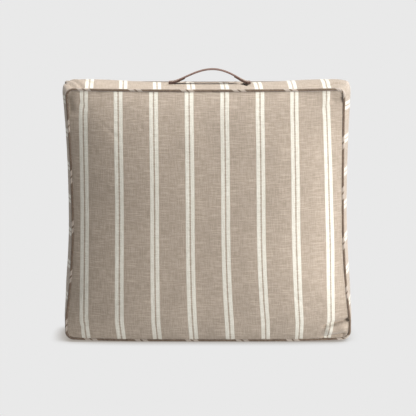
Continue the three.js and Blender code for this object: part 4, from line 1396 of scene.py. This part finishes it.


class CUSHION_OT_stage(bpy.types.Operator):
    """Sets the pale floor, the soft lights and the camera"""

    bl_idname = "cushion.stage"
    bl_label = "Stage"

    def execute(self, context):
        stage = context.scene.cushion_stage
        self.room(context.scene, stage)
        self.floor(stage)
        for name, setting in SOFTBOXES.items():
            self.softbox(name, *setting, getattr(stage, name + "_power"))
        self.camera(context.scene, stage)
        return {"FINISHED"}

    def room(self, scene, stage):
        """A room of one pale colour: as bright as the floor to look at, and dimmer as a light."""
        world = bpy.data.worlds.new("pale_room")
        scene.world = world
        world.use_nodes = True
        tree = world.node_tree
        background = tree.nodes["Background"]
        background.inputs["Color"].default_value = (*stage.floor, 1)
        seen = add(tree, "LightPath", out="Is Camera Ray")
        strength = add(tree, "MapRange", {"Value": seen, "To Min": stage.ambient, "To Max": 1.0})
        tree.links.new(strength, background.inputs["Strength"])
        scene.view_settings.view_transform = "Standard"

    def floor(self, stage):
        """A seamless pale sweep that glows evenly, with a painted contact shadow where the cushion closes it
        in, leaning to the left, away from the key light.
        """
        material = bpy.data.materials.new("pale_paper_sweep")
        material.use_nodes = True
        tree = material.node_tree
        tree.nodes.clear()
        # The occlusion is sampled about a normal tilted towards the key light, so that the painted shadow
        # reaches further to the left.
        shadow_lean = Vector((0.45, -0.25, 0.85)).normalized()
        inputs = {"Distance": CLOSED_IN, "Normal": add(tree, "CombineXYZ", dict(enumerate(shadow_lean)))}
        shadow_free_share = ramp(tree, add(tree, "AmbientOcclusion", inputs, 1, samples=16), 0.18, 0.97)
        shown = blend_colours(tree, shadow_free_share, stage.painted_contact_shadow, stage.floor)
        seen = add(tree, "LightPath", out="Is Camera Ray")
        strength = add(tree, "MapRange", {"Value": seen, "To Min": stage.bounce, "To Max": 1.0})
        glow = add(tree, "Emission", {"Color": shown, "Strength": strength})
        shown_by = tree.nodes.new("ShaderNodeOutputMaterial")
        tree.links.new(glow, shown_by.inputs["Surface"])
        x, y = np.meshgrid(*[np.linspace(-FLOOR_REACH, FLOOR_REACH, 3)] * 2, indexing="ij")
        points = np.stack([x, y, 0 * x - FLOOR_DEPTH], -1)
        build("floor", [Patch(points, points[..., :2])], material)

    def softbox(self, name, at, towards, size, power):
        """A square soft light at a place, facing another."""
        light = bpy.data.lights.new(name, "AREA")
        light.size = size
        light.energy = power
        made = bpy.data.objects.new(name, light)
        made.location = at
        made.rotation_euler = (Vector(towards) - Vector(at)).to_track_quat("-Z", "Y").to_euler()
        bpy.context.scene.collection.objects.link(made)

    def camera(self, scene, stage):
        """A long lens square to the front, looking a little down at the middle of the front seam's plane."""
        data = bpy.data.cameras.new("camera")
        data.lens = stage.focal_length
        data.clip_end = 100
        camera = bpy.data.objects.new("camera", data)
        aim = Vector((0, -HALF_DEPTH, stage.aim_height))
        back = Vector((0, -math.cos(stage.elevation), math.sin(stage.elevation)))
        camera.location = aim + back * stage.distance
        camera.rotation_euler = (-back).to_track_quat("-Z", "Y").to_euler()
        scene.collection.objects.link(camera)
        scene.camera = camera


# ---- The add-on ----

GROUPS = {
    "cushion_form": CushionForm,
    "cushion_cloth": CushionCloth,
    "cushion_handle": CushionHandle,
    "cushion_zip": CushionZip,
    "cushion_stage": CushionStage,
}
OPERATORS = (
    CUSHION_OT_cover,
    CUSHION_OT_zip_boxing,
    CUSHION_OT_welts,
    CUSHION_OT_insert,
    CUSHION_OT_zip,
    CUSHION_OT_handle,
    CUSHION_OT_stage,
)


class CUSHION_PT_sidebar(bpy.types.Panel):
    """Lists the sizes, the colours and the steps"""

    bl_idname = "CUSHION_PT_sidebar"
    bl_label = "Floor Cushion"
    bl_space_type = "VIEW_3D"
    bl_region_type = "UI"
    bl_category = "Cushion"

    def draw(self, context):
        for key, group in GROUPS.items():
            box = self.layout.box()
            box.label(text=group.__doc__)
            for name in group.__annotations__:
                box.prop(getattr(context.scene, key), name)
        for step in OPERATORS:
            self.layout.operator(step.bl_idname)


def register():
    """Registers the classes and gives every scene their settings."""
    for made in (*GROUPS.values(), *OPERATORS, CUSHION_PT_sidebar):
        bpy.utils.register_class(made)
    for key, group in GROUPS.items():
        setattr(bpy.types.Scene, key, PointerProperty(type=group))


def unregister():
    """Takes the settings and the classes away again."""
    for key in GROUPS:
        delattr(bpy.types.Scene, key)
    for made in (CUSHION_PT_sidebar, *reversed(OPERATORS), *GROUPS.values()):
        bpy.utils.unregister_class(made)


def main():
    """Builds the cushion and its stage."""
    register()
    for step in OPERATORS:
        area, name = step.bl_idname.split(".")
        getattr(getattr(bpy.ops, area), name)()


if __name__ == "__main__":
    main()
